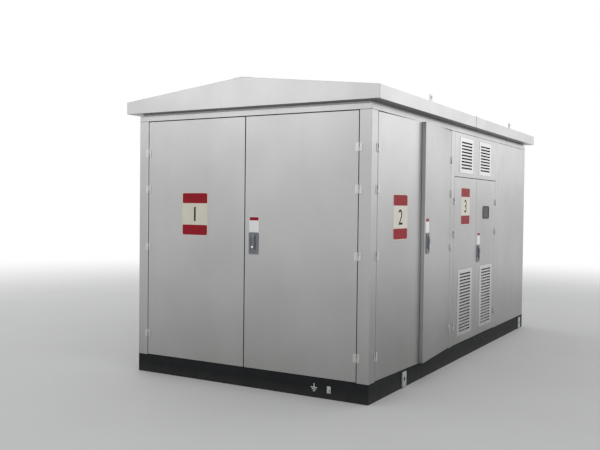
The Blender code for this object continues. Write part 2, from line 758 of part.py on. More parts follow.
def bay_fittings(wall, leaves, paints):
    """The louvres and the window of the bay's doors."""
    steel, glass = paints
    seat = seat_on(wall)
    inset = DOOR_REVEAL / 2
    left_centre = LEFT_LOUVRE_IN - inset
    right_centre = inset - LOWER_RIGHT_LOUVRE_IN
    places = (("left", leaves[0], left_centre), ("right", leaves[1], right_centre))
    for end, leaf, centre in places:
        cut_from(leaf, louvre_hole(centre, LOWER_LOUVRE_MIDDLE, AXIS_OUT, LOWER_LOUVRE))
        name = "lower_louvre_" + end
        attach(louvre(name, centre, LOWER_LOUVRE_MIDDLE, AXIS_OUT, LOWER_LOUVRE, seat, steel), leaf, wall)
    centre = inset - WINDOW_IN
    cut_from(leaves[1], window_hole(centre))
    attach(window("viewing_window", centre, seat, glass), leaves[1], wall)


def upper_panels(wall, prefix, steel):
    """The two fixed panels over the bay's doors, each with a louvre."""
    left, right = stretch(wall, BAY_START, BAY_END)
    middle = (left + right) / 2
    seat = seat_on(wall)
    levels = (BAY_DOOR_TOP + DOOR_REVEAL / 2, HEADER_BOTTOM - PANEL_GAP)
    halves = (
        ("left", left + PANEL_GAP, middle - PANEL_GAP / 2, left + LEFT_LOUVRE_IN),
        ("right", middle + PANEL_GAP / 2, right - PANEL_GAP, right - UPPER_RIGHT_LOUVRE_IN),
    )
    for end, start, stop, centre in halves:
        panel = tray(prefix + "upper_panel_" + end, (start, stop), 0, PANEL_THICKNESS, levels, (), steel)
        put_on_wall(panel, wall)
        cut_from(panel, louvre_hole(centre, UPPER_LOUVRE_MIDDLE, 0, UPPER_LOUVRE))
        name = "upper_louvre_" + end
        attach(louvre(name, centre, UPPER_LOUVRE_MIDDLE, 0, UPPER_LOUVRE, seat, steel), panel, wall)


def far_panel(wall, name, steel):
    """The plain panel of the room at the far end."""
    start, end = stretch(wall, FAR_ROOM_START, SIDE_OPENING_EDGE)
    levels = (BASE_HEIGHT + PANEL_GAP, HEADER_BOTTOM - PANEL_GAP)
    ends = (start + PANEL_GAP, end - PANEL_GAP)
    panel = tray(name, ends, 0, PANEL_THICKNESS, levels, DOOR_RIBS, steel)
    put_on_wall(panel, wall)


def corner_posts(steel):
    """Four angles, each with the fixed hinge halves of the doors beside it."""
    for along, end_wall in ((-1, "near"), (1, "far")):
        for across, side_wall in ((-1, "front"), (1, "back")):
            post = corner_post(f"corner_post_{end_wall}_{side_wall}", along, across, steel)
            side_of_end = 1 if (along < 0) == (across > 0) else -1
            fix_hinges(post, end_wall, -side_of_end * END_OPENING_EDGE, side_of_end, HINGE_HEIGHTS)
            if along < 0:
                side = 1 if side_wall == "front" else -1
                fix_hinges(post, side_wall, -side * SIDE_OPENING_EDGE, side, HINGE_HEIGHTS)


def middle_posts(wall, steel):
    """The posts on both sides of the bay, with the fixed hinge halves of the doors beside them."""
    side = -1 if wall == "back" else 1
    first = middle_post(wall + "_post_near", wall, min(stretch(wall, SWITCH_ROOM_END, BAY_START)), steel)
    fix_hinges(first, wall, on_side(wall, SWITCH_ROOM_END), -side, HINGE_HEIGHTS)
    fix_hinges(first, wall, on_side(wall, BAY_START), side, BAY_HINGE_HEIGHTS)
    second = middle_post(wall + "_post_far", wall, min(stretch(wall, BAY_END, FAR_ROOM_START)), steel)
    fix_hinges(second, wall, on_side(wall, BAY_END), -side, BAY_HINGE_HEIGHTS)


def long_wall(wall, steel, grey, glass):
    """Posts, doors, louvres and panels of one long side."""
    prefix = "" if wall == "front" else wall + "_"
    middle_posts(wall, steel)
    transom(wall, steel)
    full = (DOOR_FOOT, DOOR_HEAD)
    ajar = (SWITCH_DOOR_LEFT_AJAR_ANGLE, SWITCH_DOOR_RIGHT_AJAR_ANGLE) if wall == "front" else (0, 0)
    room = stretch(wall, -SIDE_OPENING_EDGE, SWITCH_ROOM_END)
    switch_name = prefix + "switch_door"
    door_pair(wall, room, full, DOOR_RIBS, HINGE_HEIGHTS, HANDLE_MIDDLE, switch_name, (steel, grey), ajar)
    low = (DOOR_FOOT, BAY_DOOR_TOP - DOOR_REVEAL / 2)
    bay = stretch(wall, BAY_START, BAY_END)
    bay_name = prefix + "bay_door"
    leaves = door_pair(
        wall, bay, low, BAY_DOOR_RIBS, BAY_HINGE_HEIGHTS, BAY_HANDLE_MIDDLE, bay_name, (steel, grey)
    )
    bay_fittings(wall, leaves, (steel, glass))
    upper_panels(wall, prefix, steel)
    far_panel(wall, prefix + "far_panel", steel)


def end_wall(wall, name, steel, grey):
    levels = (DOOR_FOOT, DOOR_HEAD)
    opening = openings(wall)[0]
    door_pair(wall, opening, levels, DOOR_RIBS, HINGE_HEIGHTS, HANDLE_MIDDLE, name, (steel, grey))


def main():
    for thing in list(bpy.data.objects):
        bpy.data.objects.remove(thing, do_unlink=True)
    steel = finish("brushed_stainless", (0.60, 0.60, 0.59), 0.32, 0.9)
    black = finish("black_base_paint", (0.02, 0.021, 0.024), 0.45)
    floor = finish("floor_steel", (0.20, 0.21, 0.22), 0.6)
    inside = finish("galvanised_sheet", (0.55, 0.57, 0.58), 0.5, 0.6)
    grey = finish("grey_handle", (0.28, 0.30, 0.31), 0.4)
    glass = finish("dark_window", (0.10, 0.11, 0.12), 0.15)
    zinc = finish("zinc_plated", (0.60, 0.60, 0.58), 0.4, 0.9)
    for wall in ("front", "back", "near", "far"):
        base_channel(wall, black)
        header(wall, steel)
    floor_plate(floor)
    corner_posts(steel)
    end_wall("near", "end_door", steel, grey)
    end_wall("far", "far_end_door", steel, grey)
    for wall in ("front", "back"):
        long_wall(wall, steel, grey, glass)
    ceiling_panel(inside)
    roof_slope("roof_slope_front", -1, steel)
    roof_slope("roof_slope_back", 1, steel)
    gable("gable_near", -1, steel)
    gable("gable_far", 1, steel)
    earth_terminal(zinc)


main()
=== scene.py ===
# %% [markdown]
# # Dressing the housing of a prefabricated transformer substation
#
# The housing is a steel cabin: a black channel base, a frame of folded posts, double doors in its
# ends and long sides, louvres beside the transformer and a low gabled roof. This lesson starts from
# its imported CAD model, which stays fixed, and gives it finishes, folded edges and small hardware.
# Everything is in metres, +Z is up, the front faces -Y and the near end faces -X.

import json
import math

import bmesh
import bpy
from mathutils import Matrix, Vector

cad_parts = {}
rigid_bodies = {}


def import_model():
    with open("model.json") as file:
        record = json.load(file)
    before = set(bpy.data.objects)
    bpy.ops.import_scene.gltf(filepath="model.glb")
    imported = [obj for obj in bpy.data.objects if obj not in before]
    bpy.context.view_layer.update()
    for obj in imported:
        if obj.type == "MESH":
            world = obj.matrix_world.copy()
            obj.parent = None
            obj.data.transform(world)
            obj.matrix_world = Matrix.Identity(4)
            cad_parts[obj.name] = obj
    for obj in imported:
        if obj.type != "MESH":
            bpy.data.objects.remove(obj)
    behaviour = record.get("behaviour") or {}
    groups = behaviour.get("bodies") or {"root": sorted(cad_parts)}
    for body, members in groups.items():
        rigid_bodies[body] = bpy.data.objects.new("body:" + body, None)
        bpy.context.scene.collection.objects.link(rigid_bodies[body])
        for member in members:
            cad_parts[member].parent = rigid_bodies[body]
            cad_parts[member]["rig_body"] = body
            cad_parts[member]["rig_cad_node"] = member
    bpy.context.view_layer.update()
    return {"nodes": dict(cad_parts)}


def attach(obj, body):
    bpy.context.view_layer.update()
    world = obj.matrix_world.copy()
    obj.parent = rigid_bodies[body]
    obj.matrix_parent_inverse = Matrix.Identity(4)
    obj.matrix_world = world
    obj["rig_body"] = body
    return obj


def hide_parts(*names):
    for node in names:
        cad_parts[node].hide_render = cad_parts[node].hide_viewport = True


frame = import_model()
bpy.ops.object.select_all(action="DESELECT")

# %% [markdown]
# ## Camera
#
# The photograph was taken from standing height, off the corner where the near end meets the front.
# A camera can be placed by eye, but this one was worked out from the straight edges of the two
# walls, so the whole cabin lines up with the photograph at once.

# %% Place the camera
CAMERA_PLACE = (-7.7797, -3.6958, 1.5581)
CAMERA_TURN = (88.5217, -0.6587, -59.7996)
CAMERA_LENS = 45.99

camera_turn = [math.radians(turn) for turn in CAMERA_TURN]
bpy.ops.object.camera_add(location=CAMERA_PLACE, rotation=camera_turn)
camera = bpy.context.object
camera.name = "camera"
camera.data.sensor_width = 36
camera.data.lens = CAMERA_LENS
camera.data.clip_end = 200
bpy.context.scene.camera = camera
print("camera stands", round(camera.location.xy.length, 2), "m from the middle")

# %% [markdown]
# ## Nodes
#
# A finish is a graph of nodes. By hand each node is added, set and wired to the next with the
# mouse. In a script that takes several lines for every node, so the first helpers add a node with
# its inputs given by name, and the others build what nearly every finish needs: noise, a value
# spread over a range, two colours mixed, and a bump. Patterns read Object coordinates, which are in
# metres because every piece sits at the origin.

# %% Helpers that add nodes


def new_finish(name):
    """A material with nodes, to be filled in."""
    made = bpy.data.materials.new(name)
    made.use_nodes = True
    return made


def opened(finish):
    """A finish's tree of nodes, and its main shader."""
    return finish.node_tree, finish.node_tree.nodes["Principled BSDF"]


def feed(tree, socket, value):
    """Links an input to another node's output, or else gives it a fixed value."""
    if isinstance(value, bpy.types.NodeSocket):
        tree.links.new(value, socket)
    else:
        socket.default_value = value


def set_inputs(tree, node, **values):
    for name, value in values.items():
        feed(tree, node.inputs[name.replace("_", " ")], value)
    return node


def add(tree, kind, **values):
    return set_inputs(tree, tree.nodes.new("ShaderNode" + kind), **values)


def read(node, name):
    """The output that an input is linked to now."""
    return node.inputs[name].links[0].from_socket


# %% Helpers for patterns


def metres(tree):
    """The place on the piece, in metres."""
    return add(tree, "TexCoord").outputs["Object"]


def noise(tree, scale, detail, stretch=(1, 1, 1)):
    """Noise of so many blotches a metre. stretch gives more or fewer of them along an axis."""
    place = add(tree, "Mapping", Vector=metres(tree), Scale=stretch).outputs["Vector"]
    return add(tree, "TexNoise", Vector=place, Scale=scale, Detail=detail).outputs["Fac"]


def spread(tree, value, low, high, from_low=0.2, from_high=0.8):
    """A value mapped to another range and held inside it. Most noise lies between 0.2 and 0.8."""
    ranges = {"From_Min": from_low, "From_Max": from_high, "To_Min": low, "To_Max": high}
    return add(tree, "MapRange", Value=value, **ranges).outputs["Result"]


def mix(tree, share, first, second):
    """Two colours mixed. Each is three numbers, or another node's output."""
    made = add(tree, "Mix")
    made.data_type = "RGBA"
    feed(tree, made.inputs["Factor"], share)
    for name, colour in (("A", first), ("B", second)):
        feed(tree, made.inputs[name], (*colour, 1) if isinstance(colour, tuple) else colour)
    return made.outputs["Result"]


def bump(tree, height, depth, under=None):
    """Unevenness of a depth in metres, laid over another if there is one."""
    made = add(tree, "Bump", Height=height, Strength=1.0, Distance=depth)
    if under is not None:
        feed(tree, made.inputs["Normal"], under)
    return made.outputs["Normal"]


def reckon(tree, operation, first, second):
    """One step of arithmetic on two values, each a number or another node's output."""
    made = add(tree, "Math")
    made.operation = operation
    feed(tree, made.inputs[0], first)
    feed(tree, made.inputs[1], second)
    return made.outputs[0]


# %% [markdown]
# ## Floor
#
# The cabin needs something pale to stand on and to throw its shadow on. A small floor would end in
# a hard line behind the cabin, and a curved backdrop would shade the views from behind. So the
# floor is a very wide disc whose finish turns from plain matt paint near the cabin into the same
# white as the sky further out.

# %% Helpers for what is white where it is seen
WHITE = (1.0, 1.0, 1.0, 1.0)


def seen_ray(tree):
    """1 for the rays that show a thing to the eye, straight, mirrored or through glass."""
    path = add(tree, "LightPath")
    seen = path.outputs["Is Camera Ray"]
    for kind in ("Is Glossy Ray", "Is Transmission Ray"):
        seen = reckon(tree, "MAXIMUM", seen, path.outputs[kind])
    return seen


def blend(tree, share, first, second, output):
    """Sends two shaders, blended by a share, to the output node."""
    made = add(tree, "MixShader")
    for socket, value in zip(made.inputs, (share, first.outputs[0], second.outputs[0])):
        feed(tree, socket, value)
    set_inputs(tree, tree.nodes[output], Surface=made.outputs[0])


# %% Lay the floor
FLOOR_RADIUS = 90.0
FADE_START = 5.5
FADE_END = 15.0
FLOOR_TONES = ((0.58, 0.58, 0.57), (0.63, 0.63, 0.625))
FLOOR_ROUGHNESS = 0.75
FLOOR_SPECULAR = 0.25


def floor_finish():
    made = new_finish("pale_floor")
    tree, matt = opened(made)
    tone = mix(tree, noise(tree, 0.9, 6), *FLOOR_TONES)
    set_inputs(
        tree, matt, Base_Color=tone, Roughness=FLOOR_ROUGHNESS, Specular_IOR_Level=FLOOR_SPECULAR
    )
    away = add(tree, "VectorMath")
    away.operation = "LENGTH"
    feed(tree, away.inputs[0], metres(tree))
    fade = add(tree, "MapRange", Value=away.outputs["Value"], From_Min=FADE_START, From_Max=FADE_END)
    fade.interpolation_type = "SMOOTHSTEP"
    share = reckon(tree, "MULTIPLY", fade.outputs["Result"], seen_ray(tree))
    blend(tree, share, matt, add(tree, "Emission", Color=WHITE), "Material Output")
    return made


bpy.ops.mesh.primitive_circle_add(vertices=96, radius=FLOOR_RADIUS, fill_type="NGON")
floor = bpy.context.object
floor.name = "studio_floor"
floor.data.materials.append(floor_finish())
print("floor radius", FLOOR_RADIUS, "m")

# %% [markdown]
# ## Light
#
# In the photograph daylight comes from the side of the long front, so the front is bright and the
# near end is a step darker. A studio gives the same with one very large soft lamp on the front's
# side, a weaker one by the near end and a third that keeps the back readable. A fourth, long and
# low, is there to be mirrored in the top of the near doors, which the photograph shows as a pale
# band. The sky fills the rest: it is dim as a light, and plain white where it is seen. The Standard
# view transform shows every colour as it is written.

# %% Set up the lamps
LAMPS = {
    "front_softbox": ((12.0, -9.0, 6.5), (12.0, 9.0), 365),
    "camera_softbox": ((-7.0, -12.0, 7.5), (12.0, 8.0), 330),
    "back_softbox": ((3.0, 13.0, 8.0), (14.0, 9.0), 430),
    "end_softbox": ((-12.5, 6.5, 5.4), (9.0, 3.0), 140),
}
LAMPS_AIM = Vector((0, 0, 1.1))

for name, (place, size, power) in LAMPS.items():
    bpy.ops.object.light_add(type="AREA", location=place)
    lamp = bpy.context.object
    lamp.name = name
    lamp.rotation_euler = (LAMPS_AIM - lamp.location).to_track_quat("-Z", "Y").to_euler()
    lamp.data.shape = "RECTANGLE"
    lamp.data.size, lamp.data.size_y = size
    lamp.data.energy = power
print(len(LAMPS), "lamps")

# %% Set up the sky
SKY_TINT = (0.97, 0.985, 1.0, 1)
SKY_STRENGTH = 0.64

bpy.context.scene.view_settings.view_transform = "Standard"
sky = bpy.data.worlds.new("studio_sky")
sky.use_nodes = True
bpy.context.scene.world = sky
tree = sky.node_tree
dim = set_inputs(tree, tree.nodes["Background"], Color=SKY_TINT, Strength=SKY_STRENGTH)
blend(tree, seen_ray(tree), dim, add(tree, "Background", Color=WHITE), "World Output")
print("sky of strength", SKY_STRENGTH)

# %% [markdown]
# ## Finishes
#
# Every finish here is steel, metal, rubber or plastic, and none is one even tone: it is clouded,
# its gloss varies, and its surface is slightly uneven. One helper sets up that common part. Each
# finish then adds what only it has, such as dust on paint or crystals on zinc.

# %% Helpers for finishes
CLOUD_DETAIL = 5
GLOSS_DETAIL = 4
GLOSS_FINER = 2.3
GRAIN_DETAIL = 2


def clouded(name, dark, light, scale, gloss, metal=0.0, grain=(300, 0.00005), specular=0.5):
    """A finish between two tones, with roughness between two values and a fine grain.

    scale is the clouds a metre, and grain is the grains a metre and their depth."""
    made = new_finish(name)
    tree, shader = opened(made)
    tone = spread(tree, noise(tree, scale, CLOUD_DETAIL), 0, 1)
    set_inputs(
        tree,
        shader,
        Base_Color=mix(tree, tone, dark, light),
        Roughness=spread(tree, noise(tree, scale * GLOSS_FINER, GLOSS_DETAIL), *gloss),
        Metallic=metal,
        Specular_IOR_Level=specular,
        Normal=bump(tree, noise(tree, grain[0], GRAIN_DETAIL), grain[1]),
    )
    return made


def times(tree, first, second):
    """The product of two values."""
    return reckon(tree, "MULTIPLY", first, second)


def low_down(tree, bottom, top):
    """1 at the bottom height and 0 from the top height up."""
    height = add(tree, "SeparateXYZ", Vector=metres(tree)).outputs["Z"]
    return spread(tree, height, 1, 0, bottom, top)


# %% [markdown]
# ### Brushed stainless steel
#
# Walls, doors and roof are stainless sheet with a hairline finish, brushed along its length. In the
# photograph it is nearly white where it mirrors daylight and dark where it mirrors the floor, which
# a paint would never be. A metal's colour is in its reflection, so the look is in the roughness and
# the normals: lines that are a hand long, about two millimetres apart and under a tenth of a
# millimetre deep, which blur reflections up and down, and a broad shallow bump that lets them swim,
# as large sheets are never quite flat. Faint runs of dust come down from the eaves and dull the
# metal there, and in patches low on the walls the metal is darker too.

# %% Mix the brushed stainless steel
EDGE_TINT = (0.84, 0.84, 0.84, 1)
STEEL_GRAIN = (420, 0.00001)
STEEL_DULLED = (0.285, 0.276, 0.258)
LINES_A_METRE = 560
LINE_DEPTH = 0.00009
LINE_DULLING = 0.16
RUNS_A_METRE = 9
RUN_SHAPE = (1, 1, 0.06)
RUN_RANGE = (0.50, 0.80)
RUN_DULLING = 0.07
# Where and how much the metal is darker in patches low on the walls.
LOW_DARKENING_HEIGHTS = (0.15, 0.70)
LOW_DARKENING_PATCHES = (5, 6, (1, 1, 0.4))
LOW_DARKENING_SHARE = 0.45
WAVES_A_METRE = 1.25
WAVE_SHAPE = (1, 1, 0.55)
WAVE_DEPTH = 0.0042
ALONG_THE_WALL = (0.012, 0.012, 1)
UP_THE_WALL = (1, 1, 0.012)


def brushed_finish(name, dark, light, gloss, brushing):
    made = clouded(name, dark, light, 1.4, gloss, 1.0, STEEL_GRAIN)
    tree, shader = opened(made)
    lines = noise(tree, LINES_A_METRE, 2, brushing)
    lined = mix(tree, spread(tree, lines, 0, LINE_DULLING), read(shader, "Base Color"), STEEL_DULLED)
    run = spread(tree, noise(tree, RUNS_A_METRE, 4, RUN_SHAPE), 0, RUN_DULLING, *RUN_RANGE)
    streaked = mix(tree, run, lined, STEEL_DULLED)
    # The metal is darker in patches low on the walls, fading out between the two heights.
    low_patches = times(tree, low_down(tree, *LOW_DARKENING_HEIGHTS), noise(tree, *LOW_DARKENING_PATCHES))
    toned_low = mix(tree, times(tree, low_patches, LOW_DARKENING_SHARE), streaked, STEEL_DULLED)
    wave = noise(tree, WAVES_A_METRE, 1.5, WAVE_SHAPE)
    uneven = bump(tree, wave, WAVE_DEPTH, bump(tree, lines, LINE_DEPTH))
    set_inputs(tree, shader, Base_Color=toned_low, Normal=uneven, Specular_Tint=EDGE_TINT)
    return made


steel = brushed_finish(
    "brushed_stainless", (0.385, 0.387, 0.386), (0.470, 0.473, 0.474), (0.29, 0.37), ALONG_THE_WALL
)
# The louvres' steel is brushed up the wall, and its lighter tones are a painted sheen: they stand in
# for the brighter reflection that this grain gives.
louvre_steel = brushed_finish(
    "louvre_steel", (0.57, 0.57, 0.57), (0.63, 0.63, 0.63), (0.34, 0.42), UP_THE_WALL
)
print("made", steel.name, louvre_steel.name)

# %% [markdown]
# ### Black base paint, floor steel and galvanised sheet
#
# The base channel stands on dirty floors, so its black paint is duller, dusty and scuffed through
# in small spots. The floor plate inside is bare steel with a rolled pattern of raised bars. The
# ceiling is galvanised: zinc freezes in crystals a centimetre or two across, which a Voronoi
# texture copies, since its cells have straight borders too.

# %% Mix the base paint
BASE_DUST = (0.12, 0.11, 0.10)
BASE_DUST_COVER = 0.28
BASE_DUST_HEIGHTS = (0.0, 0.09)
SCUFF = (0.055, 0.053, 0.050)
SCUFF_COVER = 0.7

black_paint = clouded(
    "black_base_paint",
    (0.008, 0.009, 0.010),
    (0.015, 0.016, 0.017),
    6,
    (0.60, 0.80),
    grain=(160, 0.0002),
    specular=0.15,
)
tree, shader = opened(black_paint)
scuffs = spread(tree, noise(tree, 38, 5), 0, SCUFF_COVER, 0.68, 0.76)
scuffed = mix(tree, scuffs, read(shader, "Base Color"), SCUFF)
toned_low = times(tree, low_down(tree, *BASE_DUST_HEIGHTS), noise(tree, 14, 6))
worn = mix(tree, times(tree, toned_low, BASE_DUST_COVER), scuffed, BASE_DUST)
set_inputs(tree, shader, Base_Color=worn)
print("made", black_paint.name)

# %% Mix the floor steel and the galvanised sheet
BARS_SCALE = 16
BAR_RISE = 0.0015
CRYSTALS_A_METRE = 70
CRYSTAL_TONES = ((0.38, 0.395, 0.41), (0.60, 0.61, 0.62))

floor_steel = clouded("floor_steel", (0.15, 0.155, 0.16), (0.25, 0.25, 0.25), 8, (0.4, 0.6), 0.65)
tree, shader = opened(floor_steel)
slanted = add(tree, "Mapping", Vector=metres(tree), Rotation=(0, 0, math.radians(45)))
bars = add(
    tree,
    "TexBrick",
    Vector=slanted.outputs["Vector"],
    Scale=BARS_SCALE,
    Mortar_Size=0.16,
    Mortar_Smooth=0.4,
)
raised = bump(tree, bars.outputs["Fac"], BAR_RISE, read(shader, "Normal"))
set_inputs(tree, shader, Normal=raised)

galvanised = clouded("galvanised_sheet", *CRYSTAL_TONES, 30, (0.36, 0.5), 0.85)
tree, shader = opened(galvanised)
crystals = add(tree, "TexVoronoi", Vector=metres(tree), Scale=CRYSTALS_A_METRE)
random_tone = add(tree, "SeparateColor", Color=crystals.outputs["Color"]).outputs[0]
set_inputs(tree, shader, Base_Color=mix(tree, random_tone, *CRYSTAL_TONES))
print("made", floor_steel.name, galvanised.name)

# %% [markdown]
# ### Hardware finishes
#
# Hinges and bolts are zinc plated, which is a bright metal with faint cloudy patches. Handles have
# a grey powder coat with a fine pebbled grain, locks are polished, seals are matt rubber, and the
# small plates are enamel. Their parts are only centimetres wide, so the patterns are finer too.

# %% Mix the hardware finishes
zinc = clouded("zinc_plated", (0.47, 0.47, 0.46), (0.60, 0.60, 0.59), 60, (0.29, 0.42), 1.0)
polished = clouded("polished_lock", (0.66, 0.66, 0.66), (0.80, 0.80, 0.79), 90, (0.10, 0.2), 1.0)
handle_grey = clouded(
    "grey_handle", (0.160, 0.170, 0.190), (0.195, 0.206, 0.228), 30, (0.38, 0.5), grain=(900, 0.00012)
)
rubber = clouded("seal_rubber", (0.012, 0.012, 0.013), (0.024, 0.024, 0.025), 50, (0.6, 0.8))
window_dark = clouded(
    "dark_window", (0.026, 0.028, 0.031), (0.036, 0.039, 0.043), 9, (0.16, 0.26), specular=0.08
)
red_enamel = clouded(
    "red_enamel", (0.27, 0.004, 0.013), (0.34, 0.007, 0.018), 25, (0.4, 0.55), specular=0.15
)
cream_enamel = clouded("cream_enamel", (0.66, 0.62, 0.52), (0.74, 0.70, 0.60), 12, (0.30, 0.42))
white_label = clouded("white_label", (0.80, 0.81, 0.82), (0.87, 0.88, 0.89), 15, (0.3, 0.45))
print("made", len(bpy.data.materials), "finishes so far")

# %% [markdown]
# ### Finishes on the CAD nodes
#
# Some CAD nodes stay as they are, such as the floor plate and the ceiling panel. Each comes with a
# slot for its finish, and the slot's name says which one it waits for.

# %% Put finishes on the carried-over CAD nodes
SLOT_FINISHES = {
    "brushed_stainless": steel,
    "black_base_paint": black_paint,
    "floor_steel": floor_steel,
    "galvanised_sheet": galvanised,
    "grey_handle": handle_grey,
    "dark_window": window_dark,
    "zinc_plated": zinc,
}
for node in frame["nodes"].values():
    for slot in node.material_slots:
        slot.material = SLOT_FINISHES[slot.material.name.split(".")[0]]
print("finished", len(frame["nodes"]), "CAD nodes")

# %% [markdown]
# ## Modelling helpers
#
# Pieces are modelled as by hand: a primitive is added at its place, faces or edges are selected,
# and edit-mode operators shape them. By hand the selection is a mouse click. In a script it is a
# test of where a face lies and which way it looks, so `pick` takes such a test.

# %% Helpers for selecting
SELECT_MODES = {"faces": "FACE", "edges": "EDGE", "verts": "VERT"}
TINY = 0.0001


def only(piece):
    bpy.ops.object.select_all(action="DESELECT")
    piece.select_set(True)
    bpy.context.view_layer.objects.active = piece


def edit(piece):
    only(piece)
    bpy.ops.object.mode_set(mode="EDIT")


def done():
    bpy.ops.object.mode_set(mode="OBJECT")
    return bpy.context.object


def pick(kind, test):
    """In edit mode, selects just the faces, edges or points that pass the test."""
    bpy.ops.mesh.select_mode(type=SELECT_MODES[kind])
    bpy.ops.mesh.select_all(action="DESELECT")
    shape = bmesh.from_edit_mesh(bpy.context.object.data)
    for part in getattr(shape, kind):
        if test(part):
            part.select_set(True)
    shape.select_flush_mode()
    bmesh.update_edit_mesh(bpy.context.object.data)


# %% Tests for what to select
FACING = 0.9
PARALLEL = 0.99
SHARP = 0.5


def middle(part):
    """The middle of a face or an edge."""
    return sum((vert.co for vert in part.verts), Vector()) / len(part.verts)


def looks(direction):
    """A test for faces that look one way."""
    return lambda face: face.normal.dot(Vector(direction)) > FACING


def runs(direction):
    """A test for edges that run one way."""
    way = Vector(direction)
    return lambda edge: abs((edge.verts[1].co - edge.verts[0].co).normalized().dot(way)) > PARALLEL


def front_rim(front):
    """A test for the sharp edges round the flat face that lies foremost, at that depth."""
    return lambda edge: (
        all(abs(vert.co.y - front) < TINY for vert in edge.verts)
        and len(edge.link_faces) == 2
        and edge.calc_face_angle() > SHARP
    )


looks_out = looks((0, -1, 0))
runs_inwards = runs((0, 1, 0))

# %% Helpers for edit mode


def bevel(width, segments=2):
    bpy.ops.mesh.bevel(offset=width, segments=segments, affect="EDGES")


def inset(width):
    bpy.ops.mesh.inset(thickness=width)


def slide(x=0.0, y=0.0, z=0.0):
    bpy.ops.transform.translate(value=(x, y, z))


def push(x=0.0, y=0.0, z=0.0):
    """Extrudes the selected faces by a vector."""
    bpy.ops.mesh.extrude_region_move(TRANSFORM_OT_translate={"value": (x, y, z)})


def pull(x=0.0, y=0.0, z=0.0):
    """Extrudes the selected edges by a vector."""
    bpy.ops.mesh.extrude_edges_move(TRANSFORM_OT_translate={"value": (x, y, z)})


def cut(place, way, **keep):
    """Cuts the whole piece along a plane. It keeps both sides unless it is told otherwise."""
    bpy.ops.mesh.select_all(action="SELECT")
    bpy.ops.mesh.bisect(plane_co=place, plane_no=way, **keep)


# %% Helpers for whole pieces
MERGE_DISTANCE = 0.00002


def applied(piece, kind, **settings):
    """Adds a modifier to a piece and applies it."""
    only(piece)
    bpy.ops.object.modifier_add(type=kind)
    modifier = piece.modifiers[-1]
    for name, value in settings.items():
        setattr(modifier, name, value)
    bpy.ops.object.modifier_apply(modifier=modifier.name)
    return piece


def fold(piece, width, segments=2):
    """Rounds every sharp edge of a piece."""
    limits = {"limit_method": "ANGLE", "angle_limit": math.radians(40)}
    return applied(piece, "BEVEL", width=width, segments=segments, **limits)


def outwards(piece):
    """Turns all faces of a piece outwards."""
    edit(piece)
    bpy.ops.mesh.select_all(action="SELECT")
    bpy.ops.mesh.normals_make_consistent(inside=False)
    return done()


# %% Helpers for starting a piece


def settled(name):
    """Names a new primitive, and moves its place from its object to its mesh."""
    bpy.ops.object.transform_apply(location=True, rotation=True, scale=True)
    bpy.context.object.name = name
    return bpy.context.object


def block(name, low, high):
    """A box between two corners, to be shaped further."""
    low, high = Vector(low), Vector(high)
    bpy.ops.object.select_all(action="DESELECT")
    bpy.ops.mesh.primitive_cube_add(size=1, location=(low + high) / 2, scale=high - low)
    return settled(name)


def peg(name, centre, radius, front, back, sides=20):
    """A round bar across the wall, from a front to a back depth."""
    bpy.ops.object.select_all(action="DESELECT")
    bpy.ops.mesh.primitive_cylinder_add(
        vertices=sides,
        radius=radius,
        depth=back - front,
        location=(centre[0], (front + back) / 2, centre[1]),
        rotation=(math.pi / 2, 0, 0),
    )
    return settled(name)


def plate(name, low, high, corner, edge):
    """A plate on the wall whose corners are rounded and whose front edge is softened."""
    made = block(name, low, high)
    edit(made)
    pick("edges", runs_inwards)
    bevel(corner, 5)
    pick("edges", front_rim(low[1]))
    bevel(edge)
    return done()


def ring(name, low, high, width, corner, edge):
    """A frame on the wall: a block with its middle taken out."""
    made = block(name, low, high)
    edit(made)
    if corner:
        pick("edges", runs_inwards)
        bevel(corner, 5)
    pick("faces", lambda face: abs(face.normal.y) > FACING)
    bpy.ops.mesh.inset(thickness=width, use_individual=True)
    bpy.ops.mesh.delete(type="FACE")
    pick("edges", lambda part: part.is_boundary)
    bpy.ops.mesh.bridge_edge_loops()
    pick("edges", front_rim(low[1]))
    bevel(edge)
    return done()


# %% Helpers for finishing a piece


def join(name, *pieces):
    only(pieces[0])
    for piece in pieces[1:]:
        piece.select_set(True)
    bpy.ops.object.join()
    bpy.context.object.name = name
    return bpy.context.object


def put(piece, place):
    """Moves a piece from where it was modelled to its place, and leaves its object at the origin."""
    only(piece)
    piece.matrix_world = place
    bpy.ops.object.transform_apply(location=True, rotation=True, scale=True)
    if place.determinant() < 0:
        edit(piece)
        bpy.ops.mesh.select_all(action="SELECT")
        bpy.ops.mesh.flip_normals()
        done()
    return piece


def copy_of(piece, name, place):
    """A copy with its own mesh, at its place."""
    only(piece)
    bpy.ops.object.duplicate(linked=False)
    bpy.context.object.name = name
    return put(bpy.context.object, place)


def hand_over(piece, finish, body, slot_name=None, *nodes):
    """Gives a piece its finish, its body and the CAD nodes it stands for."""
    piece.data.materials.clear()
    piece.data.materials.append(finish)
    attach(piece, body)
    if nodes:
        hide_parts(*nodes)
    return piece


def drop(*pieces):
    """Removes the patterns that pieces were copied from."""
    for piece in pieces:
        bpy.data.objects.remove(piece)


# %% [markdown]
# ## Walls and leaves
#
# A door's fittings are easiest to model as if the door stood at the origin, and to put in place
# afterwards. Each wall has a frame whose X runs to the right as seen from outside and whose Y runs
# inwards. Each leaf has one of its own at its hinge pin, which also holds the small angle that two
# of the leaves stand open by in the photograph.

# %% Frames of the walls
HALF_LENGTH = 2.365
HALF_WIDTH = 1.180
WALLS = {
    "front": (0, (0, -HALF_WIDTH, 0), (0, -1, 0)),
    "back": (180, (0, HALF_WIDTH, 0), (0, 1, 0)),
    "near": (-90, (-HALF_LENGTH, 0, 0), (-1, 0, 0)),
    "far": (90, (HALF_LENGTH, 0, 0), (1, 0, 0)),
}


